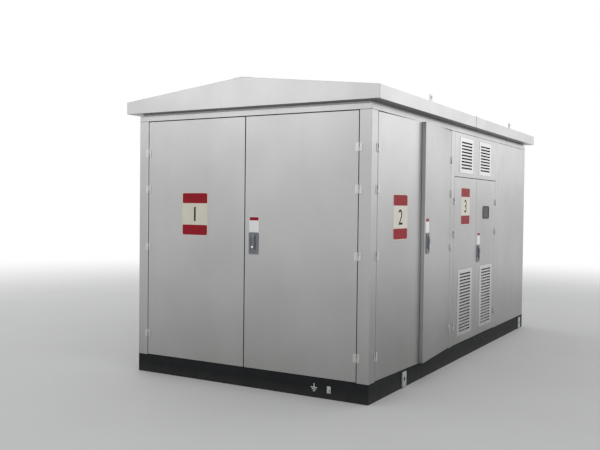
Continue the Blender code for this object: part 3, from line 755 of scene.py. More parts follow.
def wall_frame(wall):
    turn, place, _ = WALLS[wall]
    return Matrix.Translation(place) @ Matrix.Rotation(math.radians(turn), 4, "Z")


def on_wall(wall, across, level=0.0):
    """A place on a wall's face, so far to the right of its middle and so high."""
    return wall_frame(wall) @ Matrix.Translation((across, 0, level))


print(len(WALLS), "walls")

# %% Doorways and leaves
END_EDGES = (-1.075, 1.075)
SWITCH_EDGES = (-2.247, -0.505)
BAY_EDGES = (-0.405, 1.039)
REVEAL = 0.006
MEETING_GAP = 0.008
PIN_OUT = 0.006
HINGES = {
    "end": (2.02, 1.69, 1.16, 0.36),
    "switch": (2.02, 1.69, 1.16, 0.36),
    "bay": (1.616, 1.284, 0.36),
}
AJAR = {"switch_door_left": 2.0, "switch_door_right": 4.3}


def mirrored(edges):
    """The left and right edge of a doorway as seen from the opposite wall."""
    return (-edges[1], -edges[0])


DOORWAYS = {
    "end_door": ("end", "near", END_EDGES),
    "far_end_door": ("end", "far", END_EDGES),
    "switch_door": ("switch", "front", SWITCH_EDGES),
    "back_switch_door": ("switch", "back", mirrored(SWITCH_EDGES)),
    "bay_door": ("bay", "front", BAY_EDGES),
    "back_bay_door": ("bay", "back", mirrored(BAY_EDGES)),
}


def leaf_rows():
    """Each leaf's facts. side is 1 where the pin is at its left. hung is its place when shut."""
    rows = {}
    for doors, (kind, wall, edges) in DOORWAYS.items():
        width = (edges[1] - edges[0] - 2 * REVEAL - MEETING_GAP) / 2
        for end, side, edge in (("left", 1, edges[0]), ("right", -1, edges[1])):
            leaf = f"{doors}_{end}"
            hung = wall_frame(wall) @ Matrix.Translation((edge + side * REVEAL / 2, -PIN_OUT, 0))
            turn = -side * math.radians(AJAR.get(leaf, 0))
            rows[leaf] = {
                "doors": doors,
                "kind": kind,
                "end": end,
                "side": side,
                "width": width,
                "hung": hung,
                "place": hung @ Matrix.Rotation(turn, 4, "Z"),
                "body": leaf if wall in ("near", "front") else "housing",
            }
    return rows


def on_leaf(row, inwards, level, depth=0.0):
    """A place on a leaf's face, so far in from its pin, so high and so deep behind the face."""
    return row["place"] @ Matrix.Translation((row["side"] * inwards, PIN_OUT + depth, level))


LEAVES = leaf_rows()
print(len(LEAVES), "leaves")

# %% [markdown]
# ## Folded steel
#
# Posts, rails, leaves and roof are folded from sheet, so their edges are small radii that catch the
# light, where the CAD solids are sharp. Their shapes are right, so a copy of each node is taken,
# its loose triangles are merged into plain faces, and a bevel rounds every fold. The CAD hinge
# halves stand out from the faces, so a cut just under each face takes them off, and real hinges
# come later. The leaves of a kind are alike, so each kind is folded once and copied to the back.

# %% Helpers for folding a CAD node
SKIN = 0.0006


def merged_copy(node, name):
    """A copy of a CAD node with its triangles merged and its flat faces whole."""
    only(frame["nodes"][node])
    bpy.ops.object.duplicate(linked=False)
    piece = bpy.context.object
    piece.name = name
    piece.parent = None
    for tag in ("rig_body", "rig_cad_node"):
        del piece[tag]
    if piece.data.has_custom_normals:
        bpy.ops.mesh.customdata_custom_splitnormals_clear()
    edit(piece)
    bpy.ops.mesh.select_all(action="SELECT")
    bpy.ops.mesh.remove_doubles(threshold=MERGE_DISTANCE)
    bpy.ops.mesh.dissolve_limited(angle_limit=math.radians(0.5))
    bpy.ops.mesh.faces_shade_flat()
    return done()


def shave(piece, place, direction):
    """Takes off what stands out from a flat face at a place, and puts the face back where it was."""
    way = Vector(direction)
    level = Vector(place) - way * SKIN
    edit(piece)
    cut(level, way, use_fill=True, clear_outer=True)
    pick("faces", lambda face: looks(way)(face) and abs((middle(face) - level).dot(way)) < TINY)
    slide(*(way * SKIN))
    return done()


# %% Fold the frame and the roof
WALL_PARTS = (
    "base_channel",
    "header",
    "transom",
    "corner_post",
    "front_post",
    "back_post",
    "upper_panel",
    "far_panel",
    "back_far_panel",
)
ROOF_PARTS = ("roof_slope", "gable")
WALL_FOLD = 0.002
ROOF_FOLD = 0.0025


def walls_to_shave(node):
    """The walls from whose faces hinges or louvres stand out on a CAD node."""
    if node.startswith("upper_panel"):
        return ["front"]
    if "post" not in node:
        return []
    ends = [end for end in ("near", "far") if node.startswith("corner_post_" + end)]
    return [wall for wall in ("front", "back") if wall in node] + ends


front_to_back = Matrix.Translation((-sum(BAY_EDGES), 0, 0)) @ wall_frame("front").inverted()
folded = []
for node in sorted(frame["nodes"]):
    if not node.startswith(WALL_PARTS + ROOF_PARTS):
        continue
    piece = merged_copy(node, node + "_folded")
    for wall in walls_to_shave(node):
        shave(piece, *WALLS[wall][1:])
    fold(piece, ROOF_FOLD if node.startswith(ROOF_PARTS) else WALL_FOLD)
    finish, slot_name = steel, "brushed_stainless"
    if node.startswith("base_channel"):
        finish, slot_name = black_paint, "black_base_paint"
    if node.startswith("upper_panel"):
        twin = copy_of(piece, f"back_{node}_folded", wall_frame("back") @ front_to_back)
        folded.append(hand_over(twin, finish, "housing", slot_name, "back_" + node))
    folded.append(hand_over(piece, finish, "housing", slot_name, node))
print("folded", len(folded), "pieces of the frame and the roof")

# %% Fold the leaves
LEAF_FOLD = 0.0022

patterns = {}
for leaf, row in LEAVES.items():
    form = (row["kind"], row["end"])
    if form not in patterns:
        pattern = put(merged_copy(leaf, "leaf_pattern"), row["place"].inverted())
        patterns[form] = fold(shave(pattern, (0, PIN_OUT, 0), (0, -1, 0)), LEAF_FOLD)
    made = copy_of(patterns[form], leaf + "_leaf", row["place"])
    hand_over(made, steel, row["body"], "brushed_stainless", leaf)
drop(*patterns.values())
print("folded", len(LEAVES), "leaves from", len(patterns), "patterns")

# %% [markdown]
# ## Screws
#
# Hinges, handles, locks and signs are all held by the same small countersunk heads. A plain disc
# would do from afar, but from close by the socket in its middle catches the light, so the head's
# face is inset and pushed in. A plate often has four of them, one near each corner.

# %% Helpers for screws
SCREW_RADIUS = 0.0041
SCREW_PROUD = 0.0005
SCREW_SOFTENING = 0.0004
SCREW_SINK = 0.001
SOCKET_DEPTH = 0.0012
SOCKET_BORDER = 0.48


def screw(name, centre, front, sink=SCREW_SINK):
    """A countersunk head with a socket, just proud of a plate's front."""
    head = peg(name, centre, SCREW_RADIUS, front - SCREW_PROUD, front + sink)
    edit(head)
    pick("edges", front_rim(front - SCREW_PROUD))
    bevel(SCREW_SOFTENING)
    pick("faces", looks_out)
    inset(SCREW_RADIUS * SOCKET_BORDER)
    push(y=SOCKET_DEPTH)
    return done()


def corner_screws(across, up, front, sink=SCREW_SINK):
    """Four screws, so far across and so far up or down from the middle of a plate."""
    corners = [(side * across, level * up) for side in (-1, 1) for level in (-1, 1)]
    return [screw("corner_screw", corner, front, sink) for corner in corners]


# %% [markdown]
# ## Lift-off hinges
#
# Each hinge has two zinc plated halves. The sheet of a half runs flat over the door or the post and
# then curls round the pin: the lower curl stays on the post and carries the pin, and the upper one
# lifts off with the door. A curl could be a cylinder set against a plate, but spinning the plate's
# own edge round the pin gives one sheet, as it is rolled in a press. Each half is modelled once.

# %% Model a hinge's sheet and its pin
HINGE_HALF_HEIGHT = 0.0335
HINGE_SHEET = 0.0034
HINGE_PLATE_START = 0.0082
HINGE_PLATE_END = 0.0295
HINGE_CORNER = 0.004
HINGE_FOLD = 0.0005
HINGE_JOINT_GAP = 0.0004
CURL_TURN = 262
PIN_RADIUS = 0.0023
PIN_SPARE = 0.002
PIN_HEAD_WIDER = 1.8
PIN_HEAD_FLARE = 0.0004
PIN_HEAD_HEIGHT = 0.0022
PIN_FOLD = 0.0004


def hinge_sheet(upper):
    """The sheet of a half whose plate runs to +X and lies on the face, with the pin on Z."""
    low = (HINGE_PLATE_START, PIN_OUT - HINGE_SHEET, -HINGE_HALF_HEIGHT)
    sheet = block("hinge_sheet", low, (HINGE_PLATE_END, PIN_OUT, HINGE_HALF_HEIGHT))
    edit(sheet)
    cut((0, 0, HINGE_JOINT_GAP if upper else -HINGE_JOINT_GAP), (0, 0, 1))
    pick("edges", lambda part: runs_inwards(part) and middle(part).x > HINGE_PLATE_END - TINY)
    bevel(HINGE_CORNER, 4)
    pick("faces", lambda face: looks((-1, 0, 0))(face) and (middle(face).z > 0) == upper)
    push(x=-HINGE_PLATE_START)
    bpy.ops.mesh.spin(steps=14, angle=math.radians(CURL_TURN), center=(0, 0, 0), axis=(0, 0, 1))
    return fold(outwards(done()), HINGE_FOLD)


def hinge_pin():
    """A pin a little longer than the hinge, with a wider head at its foot."""
    bpy.ops.object.select_all(action="DESELECT")
    length = 2 * HINGE_HALF_HEIGHT + PIN_SPARE
    bpy.ops.mesh.primitive_cylinder_add(vertices=18, radius=PIN_RADIUS, depth=length)
    edit(bpy.context.object)
    pick("faces", looks((0, 0, -1)))
    push(z=-PIN_HEAD_FLARE)
    bpy.ops.transform.resize(value=(PIN_HEAD_WIDER, PIN_HEAD_WIDER, 1))
    push(z=-PIN_HEAD_HEIGHT)
    return fold(done(), PIN_FOLD)


# %% Put the two hinge halves together
SCREW_SPACING = 0.040
SCREW_LINE = 0.0195


def hinge_half(name, upper):
    parts = [hinge_sheet(upper)]
    for level in (-SCREW_SPACING / 2, SCREW_SPACING / 2):
        parts.append(screw("hinge_screw", (SCREW_LINE, level), PIN_OUT - HINGE_SHEET))
    if not upper:
        parts.append(hinge_pin())
    return join(name, *parts)


lifting_half = hinge_half("lifting_half", True)
fixed_half = hinge_half("fixed_half", False)
for half in (lifting_half, fixed_half):
    print(half.name, [round(value, 4) for value in half.dimensions])

# %% Hang the hinges
TO_THE_LEFT = Matrix.Scale(-1, 4, (1, 0, 0))

for leaf, row in LEAVES.items():
    way = Matrix.Identity(4) if row["side"] > 0 else TO_THE_LEFT
    lifting, fixed = [], []
    for height in HINGES[row["kind"]]:
        up = Matrix.Translation((0, 0, height))
        lifting.append(copy_of(lifting_half, "lifting", row["place"] @ up @ way))
        fixed.append(copy_of(fixed_half, "fixed", row["hung"] @ up @ way @ TO_THE_LEFT))
    hand_over(join(leaf + "_hinge_plates", *lifting), zinc, row["body"], "zinc_plated")
    hand_over(join(leaf + "_post_hinge_plates", *fixed), zinc, "housing", "zinc_plated")
drop(lifting_half, fixed_half)
print("hung", sum(len(HINGES[row["kind"]]) for row in LEAVES.values()), "hinges")

# %% [markdown]
# ## Swing handles
#
# A swing handle lies flat in a recess and is pulled out at its lower end, where its lock sits. In
# the photograph the plate and the lever are dark grey and only the lock shines. A single block
# would do from afar, but the recess round the lever is what makes it read as a handle, so the
# plate's face is inset and pushed in. The same handle is on every right-hand leaf.

# %% Model the handle's plate
HANDLE_WIDTH = 0.095
HANDLE_HEIGHT = 0.186
HANDLE_PLATE = 0.0066
HANDLE_CORNER = 0.012
HANDLE_SOFTENING = 0.0012
HANDLE_SCREWS_IN = (0.0105, 0.0115)
RECESS_BORDER = 0.021
RECESS_DEPTH = 0.0046
RECESS_CORNER = 0.007
RECESS_DROP = 0.006


def handle_plate():
    """The recess is pushed in while the plate is still square, and the corners are rounded after."""
    half_width, half_height = HANDLE_WIDTH / 2, HANDLE_HEIGHT / 2
    recess_side = half_width - RECESS_BORDER
    made = block("plate", (-half_width, -HANDLE_PLATE, -half_height), (half_width, 0, half_height))
    edit(made)
    pick("faces", looks_out)
    inset(RECESS_BORDER)
    slide(z=-RECESS_DROP)
    push(y=RECESS_DEPTH)
    pick("edges", lambda part: runs_inwards(part) and abs(middle(part).x) > half_width - TINY)
    bevel(HANDLE_CORNER, 5)
    pick("edges", lambda part: runs_inwards(part) and abs(middle(part).x) < recess_side + TINY)
    bevel(RECESS_CORNER, 4)
    pick("edges", front_rim(-HANDLE_PLATE))
    bevel(HANDLE_SOFTENING)
    done()
    across, up = half_width - HANDLE_SCREWS_IN[0], half_height - HANDLE_SCREWS_IN[1]
    return join("handle_plate", made, *corner_screws(across, up, -HANDLE_PLATE))


plate_pattern = handle_plate()
print("handle plate", [round(value, 4) for value in plate_pattern.dimensions])

# %% Model the handle's lever
LEVER_HALF = 0.0135
LEVER_TOP = 0.0795
LEVER_FOOT = -0.0465
LEVER_FRONT = -0.0205
LEVER_BACK = -0.0021
LEVER_CORNER = 0.006
LEVER_FOLD = 0.0013
HEAD_FOOT = 0.048
HEAD_SLOPE = 0.007
GRIP_FOOT = -0.002
DIP_BORDER = 0.0045
DIP_DEPTH = 0.0032


def handle_lever():
    """A straight lever whose head slopes back to the plate, with a dip for the finger below it."""
    made = block("lever", (-LEVER_HALF, LEVER_FRONT, LEVER_FOOT), (LEVER_HALF, LEVER_BACK, LEVER_TOP))
    edit(made)
    cut((0, 0, HEAD_FOOT), (0, 0, 1))
    cut((0, 0, GRIP_FOOT), (0, 0, 1))
    pick("edges", lambda part: runs((1, 0, 0))(part) and front_rim(LEVER_FRONT)(part)
         and middle(part).z > HEAD_FOOT + TINY)
    slide(y=HEAD_SLOPE)
    pick("edges", lambda part: runs_inwards(part) and abs(middle(part).z - GRIP_FOOT) > TINY)
    bevel(LEVER_CORNER, 4)
    pick("faces", lambda face: looks_out(face) and 0 < middle(face).z < HEAD_FOOT - LEVER_CORNER)
    inset(DIP_BORDER)
    push(y=DIP_DEPTH)
    return fold(done(), LEVER_FOLD, 3)


lever_pattern = handle_lever()
print("lever", [round(value, 4) for value in lever_pattern.dimensions])

# %% Model the handle's lock
LOCK_LEVEL = -0.031
LOCK_RADIUS = 0.0104
LOCK_RISE = 0.0062
LOCK_SINK = 0.004
LOCK_ROUNDING = 0.0019
LOCK_LIP = 0.0022
DISH_DEPTH = 0.0006
KEY_SLOT_SHAPE = (0.32, 1, 1.05)
KEY_SLOT_DEPTH = 0.003


def lock_barrel():
    """A round barrel with a shallow dish in its face and the key's slot in the middle of that."""
    front = LEVER_FRONT - LOCK_RISE
    made = peg("lock_barrel", (0, LOCK_LEVEL), LOCK_RADIUS, front, LEVER_FRONT + LOCK_SINK, 32)
    edit(made)
    pick("edges", front_rim(front))
    bevel(LOCK_ROUNDING, 4)
    pick("faces", looks_out)
    inset(LOCK_LIP)
    push(y=DISH_DEPTH)
    inset(LOCK_LIP)
    bpy.ops.transform.resize(value=KEY_SLOT_SHAPE)
    push(y=KEY_SLOT_DEPTH)
    return done()


lock_pattern = lock_barrel()
print("lock", [round(value, 4) for value in lock_pattern.dimensions])

# %% Fit the handles
HANDLE_INSET = 0.042
HANDLE_LEVELS = {"end": 1.230, "switch": 1.230, "bay": 1.0565}
CAD_HANDLES = ("end_door_handle", "switch_door_handle", "bay_door_handle")

RIGHT_LEAVES = [row for row in LEAVES.values() if row["end"] == "right"]


def handle_line(row):
    """How far in from the pin a leaf's handle has its middle."""
    return REVEAL / 2 + row["width"] - HANDLE_INSET - HANDLE_WIDTH / 2


for row in RIGHT_LEAVES:
    place = on_leaf(row, handle_line(row), HANDLE_LEVELS[row["kind"]])
    name, body = row["doors"] + "_handle", row["body"]
    node = [name] if name in CAD_HANDLES else []
    hand_over(copy_of(plate_pattern, name + "_plate", place), handle_grey, body, "grey_handle", *node)
    hand_over(copy_of(lever_pattern, name + "_lever", place), handle_grey, body, "grey_handle")
    hand_over(copy_of(lock_pattern, name + "_lock", place), polished, body, "zinc_plated")
drop(plate_pattern, lever_pattern, lock_pattern)
print("fitted", len(RIGHT_LEAVES), "handles")

# %% [markdown]
# ## Lock gear
#
# Behind each handle a case with a cam drives one rod up and one rod down to the rims of the leaf.
# The photograph can't show it, but a door that stands open would look bare without it. The gear is
# modelled as seen from inside the cabin, with Y at zero on the leaf's inner face, and is turned
# round when it goes on. Only its rods and guides differ from one kind of leaf to another.

# %% Model the lock case
CASE_HALF_WIDTH = 0.036
CASE_HALF_HEIGHT = 0.078
CASE_FRONT = 0.002
CASE_CORNER = 0.007
CASE_SOFTENING = 0.0016
CASE_SCREWS_IN = 0.0095
TRAY_BOTTOM = 0.0341


def lock_case():
    """A box that stands on the bottom of the leaf's tray and nearly reaches its inner face."""
    low = (-CASE_HALF_WIDTH, CASE_FRONT, -CASE_HALF_HEIGHT)
    high = (CASE_HALF_WIDTH, TRAY_BOTTOM, CASE_HALF_HEIGHT)
    made = plate("lock_case", low, high, CASE_CORNER, CASE_SOFTENING)
    across, up = CASE_HALF_WIDTH - CASE_SCREWS_IN, CASE_HALF_HEIGHT - CASE_SCREWS_IN
    return join("lock_case", made, *corner_screws(across, up, CASE_FRONT))


case_pattern = lock_case()
print("lock case", [round(value, 4) for value in case_pattern.dimensions])

# %% Model the cam
CAM_RADIUS = 0.027
CAM_FRONT = -0.0036
CAM_SOFTENING = 0.0007
GEAR_FOLD = 0.0005
LAP = 0.001
SPINDLE_HALF = 0.0045
SPINDLE_RISE = 0.0040
CAM_PIN_OUT = 0.019
CAM_PIN_RADIUS = 0.0046
CAM_PIN_RISE = 0.0014
ROD_FRONT = -0.0074


def lock_cam():
    """A disc with the square end of the handle's spindle in its middle and a pin for each rod."""
    disc = peg("lock_cam", (0, 0), CAM_RADIUS, CAM_FRONT, CASE_FRONT + LAP / 2, 36)
    edit(disc)
    pick("edges", front_rim(CAM_FRONT))
    bevel(CAM_SOFTENING)
    done()
    low = (-SPINDLE_HALF, CAM_FRONT - SPINDLE_RISE, -SPINDLE_HALF)
    spindle = block("spindle", low, (SPINDLE_HALF, CAM_FRONT + LAP, SPINDLE_HALF))
    parts = [disc, fold(spindle, GEAR_FOLD)]
    front = ROD_FRONT - CAM_PIN_RISE
    for level in (-CAM_PIN_OUT, CAM_PIN_OUT):
        pin = peg("cam_pin", (0, level), CAM_PIN_RADIUS, front, CAM_FRONT + LAP, 18)
        parts.append(fold(pin, GEAR_FOLD))
    return join("lock_cam", *parts)


cam_pattern = lock_cam()
print("cam", [round(value, 4) for value in cam_pattern.dimensions])

# %% Model a rod guide
GUIDE_HALF_WIDTH = 0.023
GUIDE_HALF_HEIGHT = 0.008
GUIDE_STEEL = 0.0014
GUIDE_RISE = 0.0078
GUIDE_FOLDS = (0.0092, 0.0112)
GUIDE_CORNER = 0.003
GUIDE_ROUNDING = 0.0003
GUIDE_SCREW_OUT = 0.0168
STAND_OFF = 0.0001


def rod_guide():
    """A strip that is cut at its four folds, and whose middle is then raised to clear the rod.

    Like every thin plate here it stands a hair off the face behind it, so the two never flicker."""
    low = (-GUIDE_HALF_WIDTH, -GUIDE_STEEL, -GUIDE_HALF_HEIGHT)
    made = block("rod_guide", low, (GUIDE_HALF_WIDTH, -STAND_OFF, GUIDE_HALF_HEIGHT))
    edit(made)
    for side in (-1, 1):
        for line in GUIDE_FOLDS:
            cut((side * line, 0, 0), (1, 0, 0))
    pick("verts", lambda vert: abs(vert.co.x) < GUIDE_FOLDS[0] + TINY)
    slide(y=-GUIDE_RISE)
    pick("edges", lambda part: runs_inwards(part) and abs(middle(part).x) > GUIDE_HALF_WIDTH - TINY)
    bevel(GUIDE_CORNER, 3)
    done()
    fold(made, GUIDE_ROUNDING, 1)
    screws = [screw("guide_screw", (side * GUIDE_SCREW_OUT, 0), -GUIDE_STEEL) for side in (-1, 1)]
    return join("rod_guide", made, *screws)


guide_pattern = rod_guide()
print("rod guide", [round(value, 4) for value in guide_pattern.dimensions])

# %% Fit the lock gear
ROD_HALF_WIDTH = 0.008
ROD_START = 0.011
ROD_CORNER = 0.0035
ROD_FOLD = 0.0004
ROD_SHORT = 0.015
LEAF_DEPTH = 0.040
LEAF_FOOT = 0.166
LEAF_HEADS = {"end": 2.306, "switch": 2.306, "bay": 1.8595}
GEAR_LEVELS = {"end": 1.230, "switch": 1.230, "bay": 1.090}
RIB_LEVELS = {"end": (0.8596, 1.601), "switch": (0.8596, 1.601), "bay": (0.980, 1.363)}
RIM_GUIDE_IN = 0.0235


def lock_rod(length):
    """A flat bar from the cam up to a height above it."""
    low = (-ROD_HALF_WIDTH, ROD_FRONT, ROD_START)
    made = block("lock_rod", low, (ROD_HALF_WIDTH, CAM_FRONT - STAND_OFF, length))
    edit(made)
    pick("edges", runs_inwards)
    bevel(ROD_CORNER, 3)
    return fold(done(), ROD_FOLD, 1)


for row in RIGHT_LEAVES:
    name, kind = row["doors"], row["kind"]
    level, head = GEAR_LEVELS[kind], LEAF_HEADS[kind]
    place = on_leaf(row, handle_line(row), level, LEAF_DEPTH) @ Matrix.Rotation(math.pi, 4, "Z")
    hand_over(copy_of(case_pattern, name + "_lock_case", place), galvanised, row["body"])
    parts = [copy_of(cam_pattern, "cam", place)]
    for turn, reach in ((0, head - level), (math.pi, level - LEAF_FOOT)):
        parts.append(put(lock_rod(reach - ROD_SHORT), place @ Matrix.Rotation(turn, 4, "Y")))
    for height in (LEAF_FOOT + RIM_GUIDE_IN, *RIB_LEVELS[kind], head - RIM_GUIDE_IN):
        up = Matrix.Translation((0, 0, height - level))
        parts.append(copy_of(guide_pattern, "guide", place @ up))
    hand_over(join(name + "_lock_gear", *parts), zinc, row["body"], "zinc_plated")
drop(case_pattern, cam_pattern, guide_pattern)
print("fitted", len(RIGHT_LEAVES), "sets of lock gear")

# %% [markdown]
# ## Louvres
#
# The louvres let cool air in low and warm air out high. Each is one sheet: slots are punched in it,
# and the steel below each slot is bent inwards and up as a blade, so rain runs out again. Seen from
# above the blades hide the inside, and seen from below the slots look dark, as in the photograph.
# A louvre could be cut from a block with a row of Booleans, but a sheet is made the way the press
# does it: one bay is bent, an array repeats it, the border is extruded, and Solidify adds the steel.

# %% Model one bay of a louvre
SLOT_WIDTH = 0.340
SLOT_PITCH = 0.0325
SLOT_HEIGHT = 0.016
BLADE_ANGLE = 33.0
BLADE_LENGTH = 0.030
BLADE_BENDS = ((0.15, 0.45), (0.7, 1.0), (0.15, 1.25))


def louvre_bay(name, side_border):
    """One slot and its blade. Each bend has a share of the blade's length and of its angle."""
    half_width, half_slot = SLOT_WIDTH / 2, SLOT_HEIGHT / 2
    bpy.ops.object.select_all(action="DESELECT")
    bpy.ops.mesh.primitive_plane_add(size=1, rotation=(math.pi / 2, 0, 0))
    bpy.context.object.scale = (SLOT_WIDTH + 2 * side_border, SLOT_PITCH, 1)
    edit(settled(name))
    for x in (-half_width, half_width):
        cut((x, 0, 0), (1, 0, 0))
    for z in (-half_slot, half_slot):
        cut((0, 0, z), (0, 0, 1))
    pick("faces", lambda face: abs(middle(face).x) < half_width and abs(middle(face).z) < half_slot)
    bpy.ops.mesh.delete(type="FACE")
    pick("edges", lambda part: runs((1, 0, 0))(part) and part.is_boundary
         and abs(middle(part).x) < TINY and abs(middle(part).z + half_slot) < TINY)
    for share, bend in BLADE_BENDS:
        reach, turn = BLADE_LENGTH * share, math.radians(BLADE_ANGLE) * bend
        pull(y=reach * math.cos(turn), z=reach * math.sin(turn))
    return done()


# %% Model the two sizes of louvre
LOUVRE_STEEL = 0.0015
LOUVRE_PROUD = 0.005
LOUVRE_FOLD = 0.0025
LOUVRES = {"upper": (9, 0.046, 0.045), "lower": (19, 0.060, 0.0355)}


def louvre_unit(name, slots, side_border, end_border):
    """A louvre centred on the origin, whose rim ends on the face at Y = 0."""
    between_ends = (slots - 1) * SLOT_PITCH
    field = slots * SLOT_PITCH / 2
    half_height = between_ends / 2 + SLOT_HEIGHT / 2 + end_border
    half_width = SLOT_WIDTH / 2 + side_border
    made = applied(
        louvre_bay(name, side_border),
        "ARRAY",
        count=slots,
        use_relative_offset=False,
        use_constant_offset=True,
        constant_offset_displace=(0, 0, SLOT_PITCH),
        use_merge_vertices=True,
        merge_threshold=0.00005,
    )
    put(made, Matrix.Translation((0, 0, -between_ends / 2)))

    def flat(part):
        return abs(middle(part).y) < TINY

    def outermost(part):
        across, up = abs(middle(part).x), abs(middle(part).z)
        return abs(up - half_height) < TINY or abs(across - half_width) < TINY

    edit(made)
    for way in (-1, 1):
        pick("edges", lambda part: part.is_boundary and flat(part)
             and abs(middle(part).z - way * field) < TINY)
        pull(z=way * (half_height - field))
    pick("edges", lambda part: part.is_boundary and outermost(part))
    pull(y=LOUVRE_PROUD - LOUVRE_STEEL)
    pick("edges", lambda part: len(part.link_faces) == 2 and part.calc_face_angle() > 1.2
         and flat(part) and outermost(part))
    bevel(LOUVRE_FOLD, 3)
    outwards(done())
    applied(made, "SOLIDIFY", thickness=LOUVRE_STEEL, offset=-1, use_even_offset=True)
    return outwards(put(made, Matrix.Translation((0, LOUVRE_STEEL - LOUVRE_PROUD, 0))))


louvre_patterns = {}
for size, numbers in LOUVRES.items():
    louvre_patterns[size] = louvre_unit(size + "_louvre", *numbers)
    print(size, "louvre", [round(value, 4) for value in louvre_patterns[size].dimensions])

# %% Fit the louvres
LEFT_LOUVRE_IN = 0.3725
RIGHT_LOUVRE_IN = {"upper": 0.427, "lower": 0.339}
OPENING_TOP = 2.312
BAY_DOOR_TOP = 1.8625
UPPER_LOUVRE_LEVEL = (BAY_DOOR_TOP + OPENING_TOP) / 2
LOWER_LOUVRE_LEVEL = 0.576

for prefix in ("", "back_"):
    _, wall, (left, right) = DOORWAYS[prefix + "bay_door"]
    for end, upper_across, lower_in in (
        ("left", left + LEFT_LOUVRE_IN, LEFT_LOUVRE_IN),
        ("right", right - RIGHT_LOUVRE_IN["upper"], RIGHT_LOUVRE_IN["lower"]),
    ):
        row = LEAVES[f"{prefix}bay_door_{end}"]
        for size, place, body in (
            ("upper", on_wall(wall, upper_across, UPPER_LOUVRE_LEVEL), "housing"),
            ("lower", on_leaf(row, lower_in - REVEAL / 2, LOWER_LOUVRE_LEVEL), row["body"]),
        ):
            made = copy_of(louvre_patterns[size], f"{prefix}{size}_louvre_{end}_blades", place)
            node = [f"{size}_louvre_{end}"] if wall == "front" else []
            hand_over(made, louvre_steel, body, "brushed_stainless", *node)
drop(*louvre_patterns.values())
print("fitted 8 louvres")

# %% [markdown]
# ## Viewing windows
#
# A small dark window in the right-hand bay door shows the meters inside. It is a tinted pane held
# by a rubber frame with round corners. The frame is a block with rounded corners whose middle is
# taken out, and the pane sits a little back in it, so the frame keeps its own edge.

# %% Model and fit the viewing windows
WINDOW_IN = 0.3655
WINDOW_LEVEL = 1.5015
WINDOW_HALF_WIDTH = 0.1155
WINDOW_HALF_HEIGHT = 0.0705
WINDOW_CORNER = 0.028
GASKET_WIDTH = 0.012
GASKET_PROUD = 0.004
GASKET_BACK = 0.0015
GASKET_SOFTENING = 0.0016
PANE_PROUD = 0.0015
PANE_BACK = 0.0095
PANE_SOFTENING = 0.0006
PANE_IN = GASKET_WIDTH * 0.7

gasket = ring(
    "gasket",
    (-WINDOW_HALF_WIDTH, -GASKET_PROUD, -WINDOW_HALF_HEIGHT),
    (WINDOW_HALF_WIDTH, GASKET_BACK, WINDOW_HALF_HEIGHT),
    GASKET_WIDTH,
    WINDOW_CORNER,
    GASKET_SOFTENING,
)
pane = plate(
    "pane",
    (-WINDOW_HALF_WIDTH + PANE_IN, -PANE_PROUD, -WINDOW_HALF_HEIGHT + PANE_IN),
    (WINDOW_HALF_WIDTH - PANE_IN, PANE_BACK, WINDOW_HALF_HEIGHT - PANE_IN),
    WINDOW_CORNER - PANE_IN,
    PANE_SOFTENING,
)
for prefix in ("", "back_"):
    row = LEAVES[prefix + "bay_door_right"]
    place = on_leaf(row, WINDOW_IN - REVEAL / 2, WINDOW_LEVEL)
    node = [] if prefix else ["viewing_window"]
    rim = copy_of(gasket, prefix + "window_gasket", place)
    hand_over(rim, rubber, row["body"], "dark_window", *node)
    hand_over(copy_of(pane, prefix + "window_pane", place), window_dark, row["body"], "dark_window")
drop(gasket, pane)
print("fitted 2 windows")

# %% [markdown]
# ## Door seals
#
# When a door is open, a black rubber seal shows on the stops all round its opening. It is one loop
# of soft section, so a frame is made for each opening and its front edge is rounded generously.

# %% Model the door seals
BASE_TOP = 0.160
SEAL_WIDTH = 0.010
SEAL_IN = 0.003
SEAL_FRONT = 0.0455
SEAL_BACK = 0.0538
SEAL_ROUNDING = 0.0035

for doors, (kind, wall, (left, right)) in DOORWAYS.items():
    name = wall + "_seal" if kind == "end" else doors.replace("door", "seal")
    top = BAY_DOOR_TOP if kind == "bay" else OPENING_TOP
    low = (left + SEAL_IN, SEAL_FRONT, BASE_TOP + SEAL_IN)
    high = (right - SEAL_IN, SEAL_BACK, top - SEAL_IN)
    loop = ring(name, low, high, SEAL_WIDTH, 0, SEAL_ROUNDING)
    hand_over(put(loop, wall_frame(wall)), rubber, "housing")
print("laid", len(DOORWAYS), "seals")

# %% [markdown]
# ## Compartment signs and labels
#
# On the left-hand leaf of each double door is a pressed sign with a red band at its head and foot,
# and over each handle is a small white label with a red cap. Here the signs carry plain compartment
# numbers. Flat printed quads would flicker against the door, so every layer is a thin plate of its
# own, four tenths of a millimetre over the one behind it. The numeral is a text object turned into
# a mesh.

# %% Model the signs
SIGN_WIDTH = 0.282
SIGN_HEIGHT = 0.380
SIGN_STEEL = 0.0012
SIGN_CORNER = 0.012
SIGN_SOFTENING = 0.0003
SIGN_BORDER = 0.005
SIGN_BAND = 0.094
RIVET_IN = 0.010
PRINT_STEP = 0.0004
PRINT_SOFTENING = 0.0001


def sign_plate():
    half_width, half_height = SIGN_WIDTH / 2, SIGN_HEIGHT / 2
    low = (-half_width, -SIGN_STEEL, -half_height)
    return plate("sign", low, (half_width, -STAND_OFF, half_height), SIGN_CORNER, SIGN_SOFTENING)


def sign_rivets():
    across, up = SIGN_WIDTH / 2 - RIVET_IN, SIGN_HEIGHT / 2 - RIVET_IN
    return join("sign_rivets", *corner_screws(across, up, -SIGN_STEEL - PRINT_STEP, SIGN_STEEL))


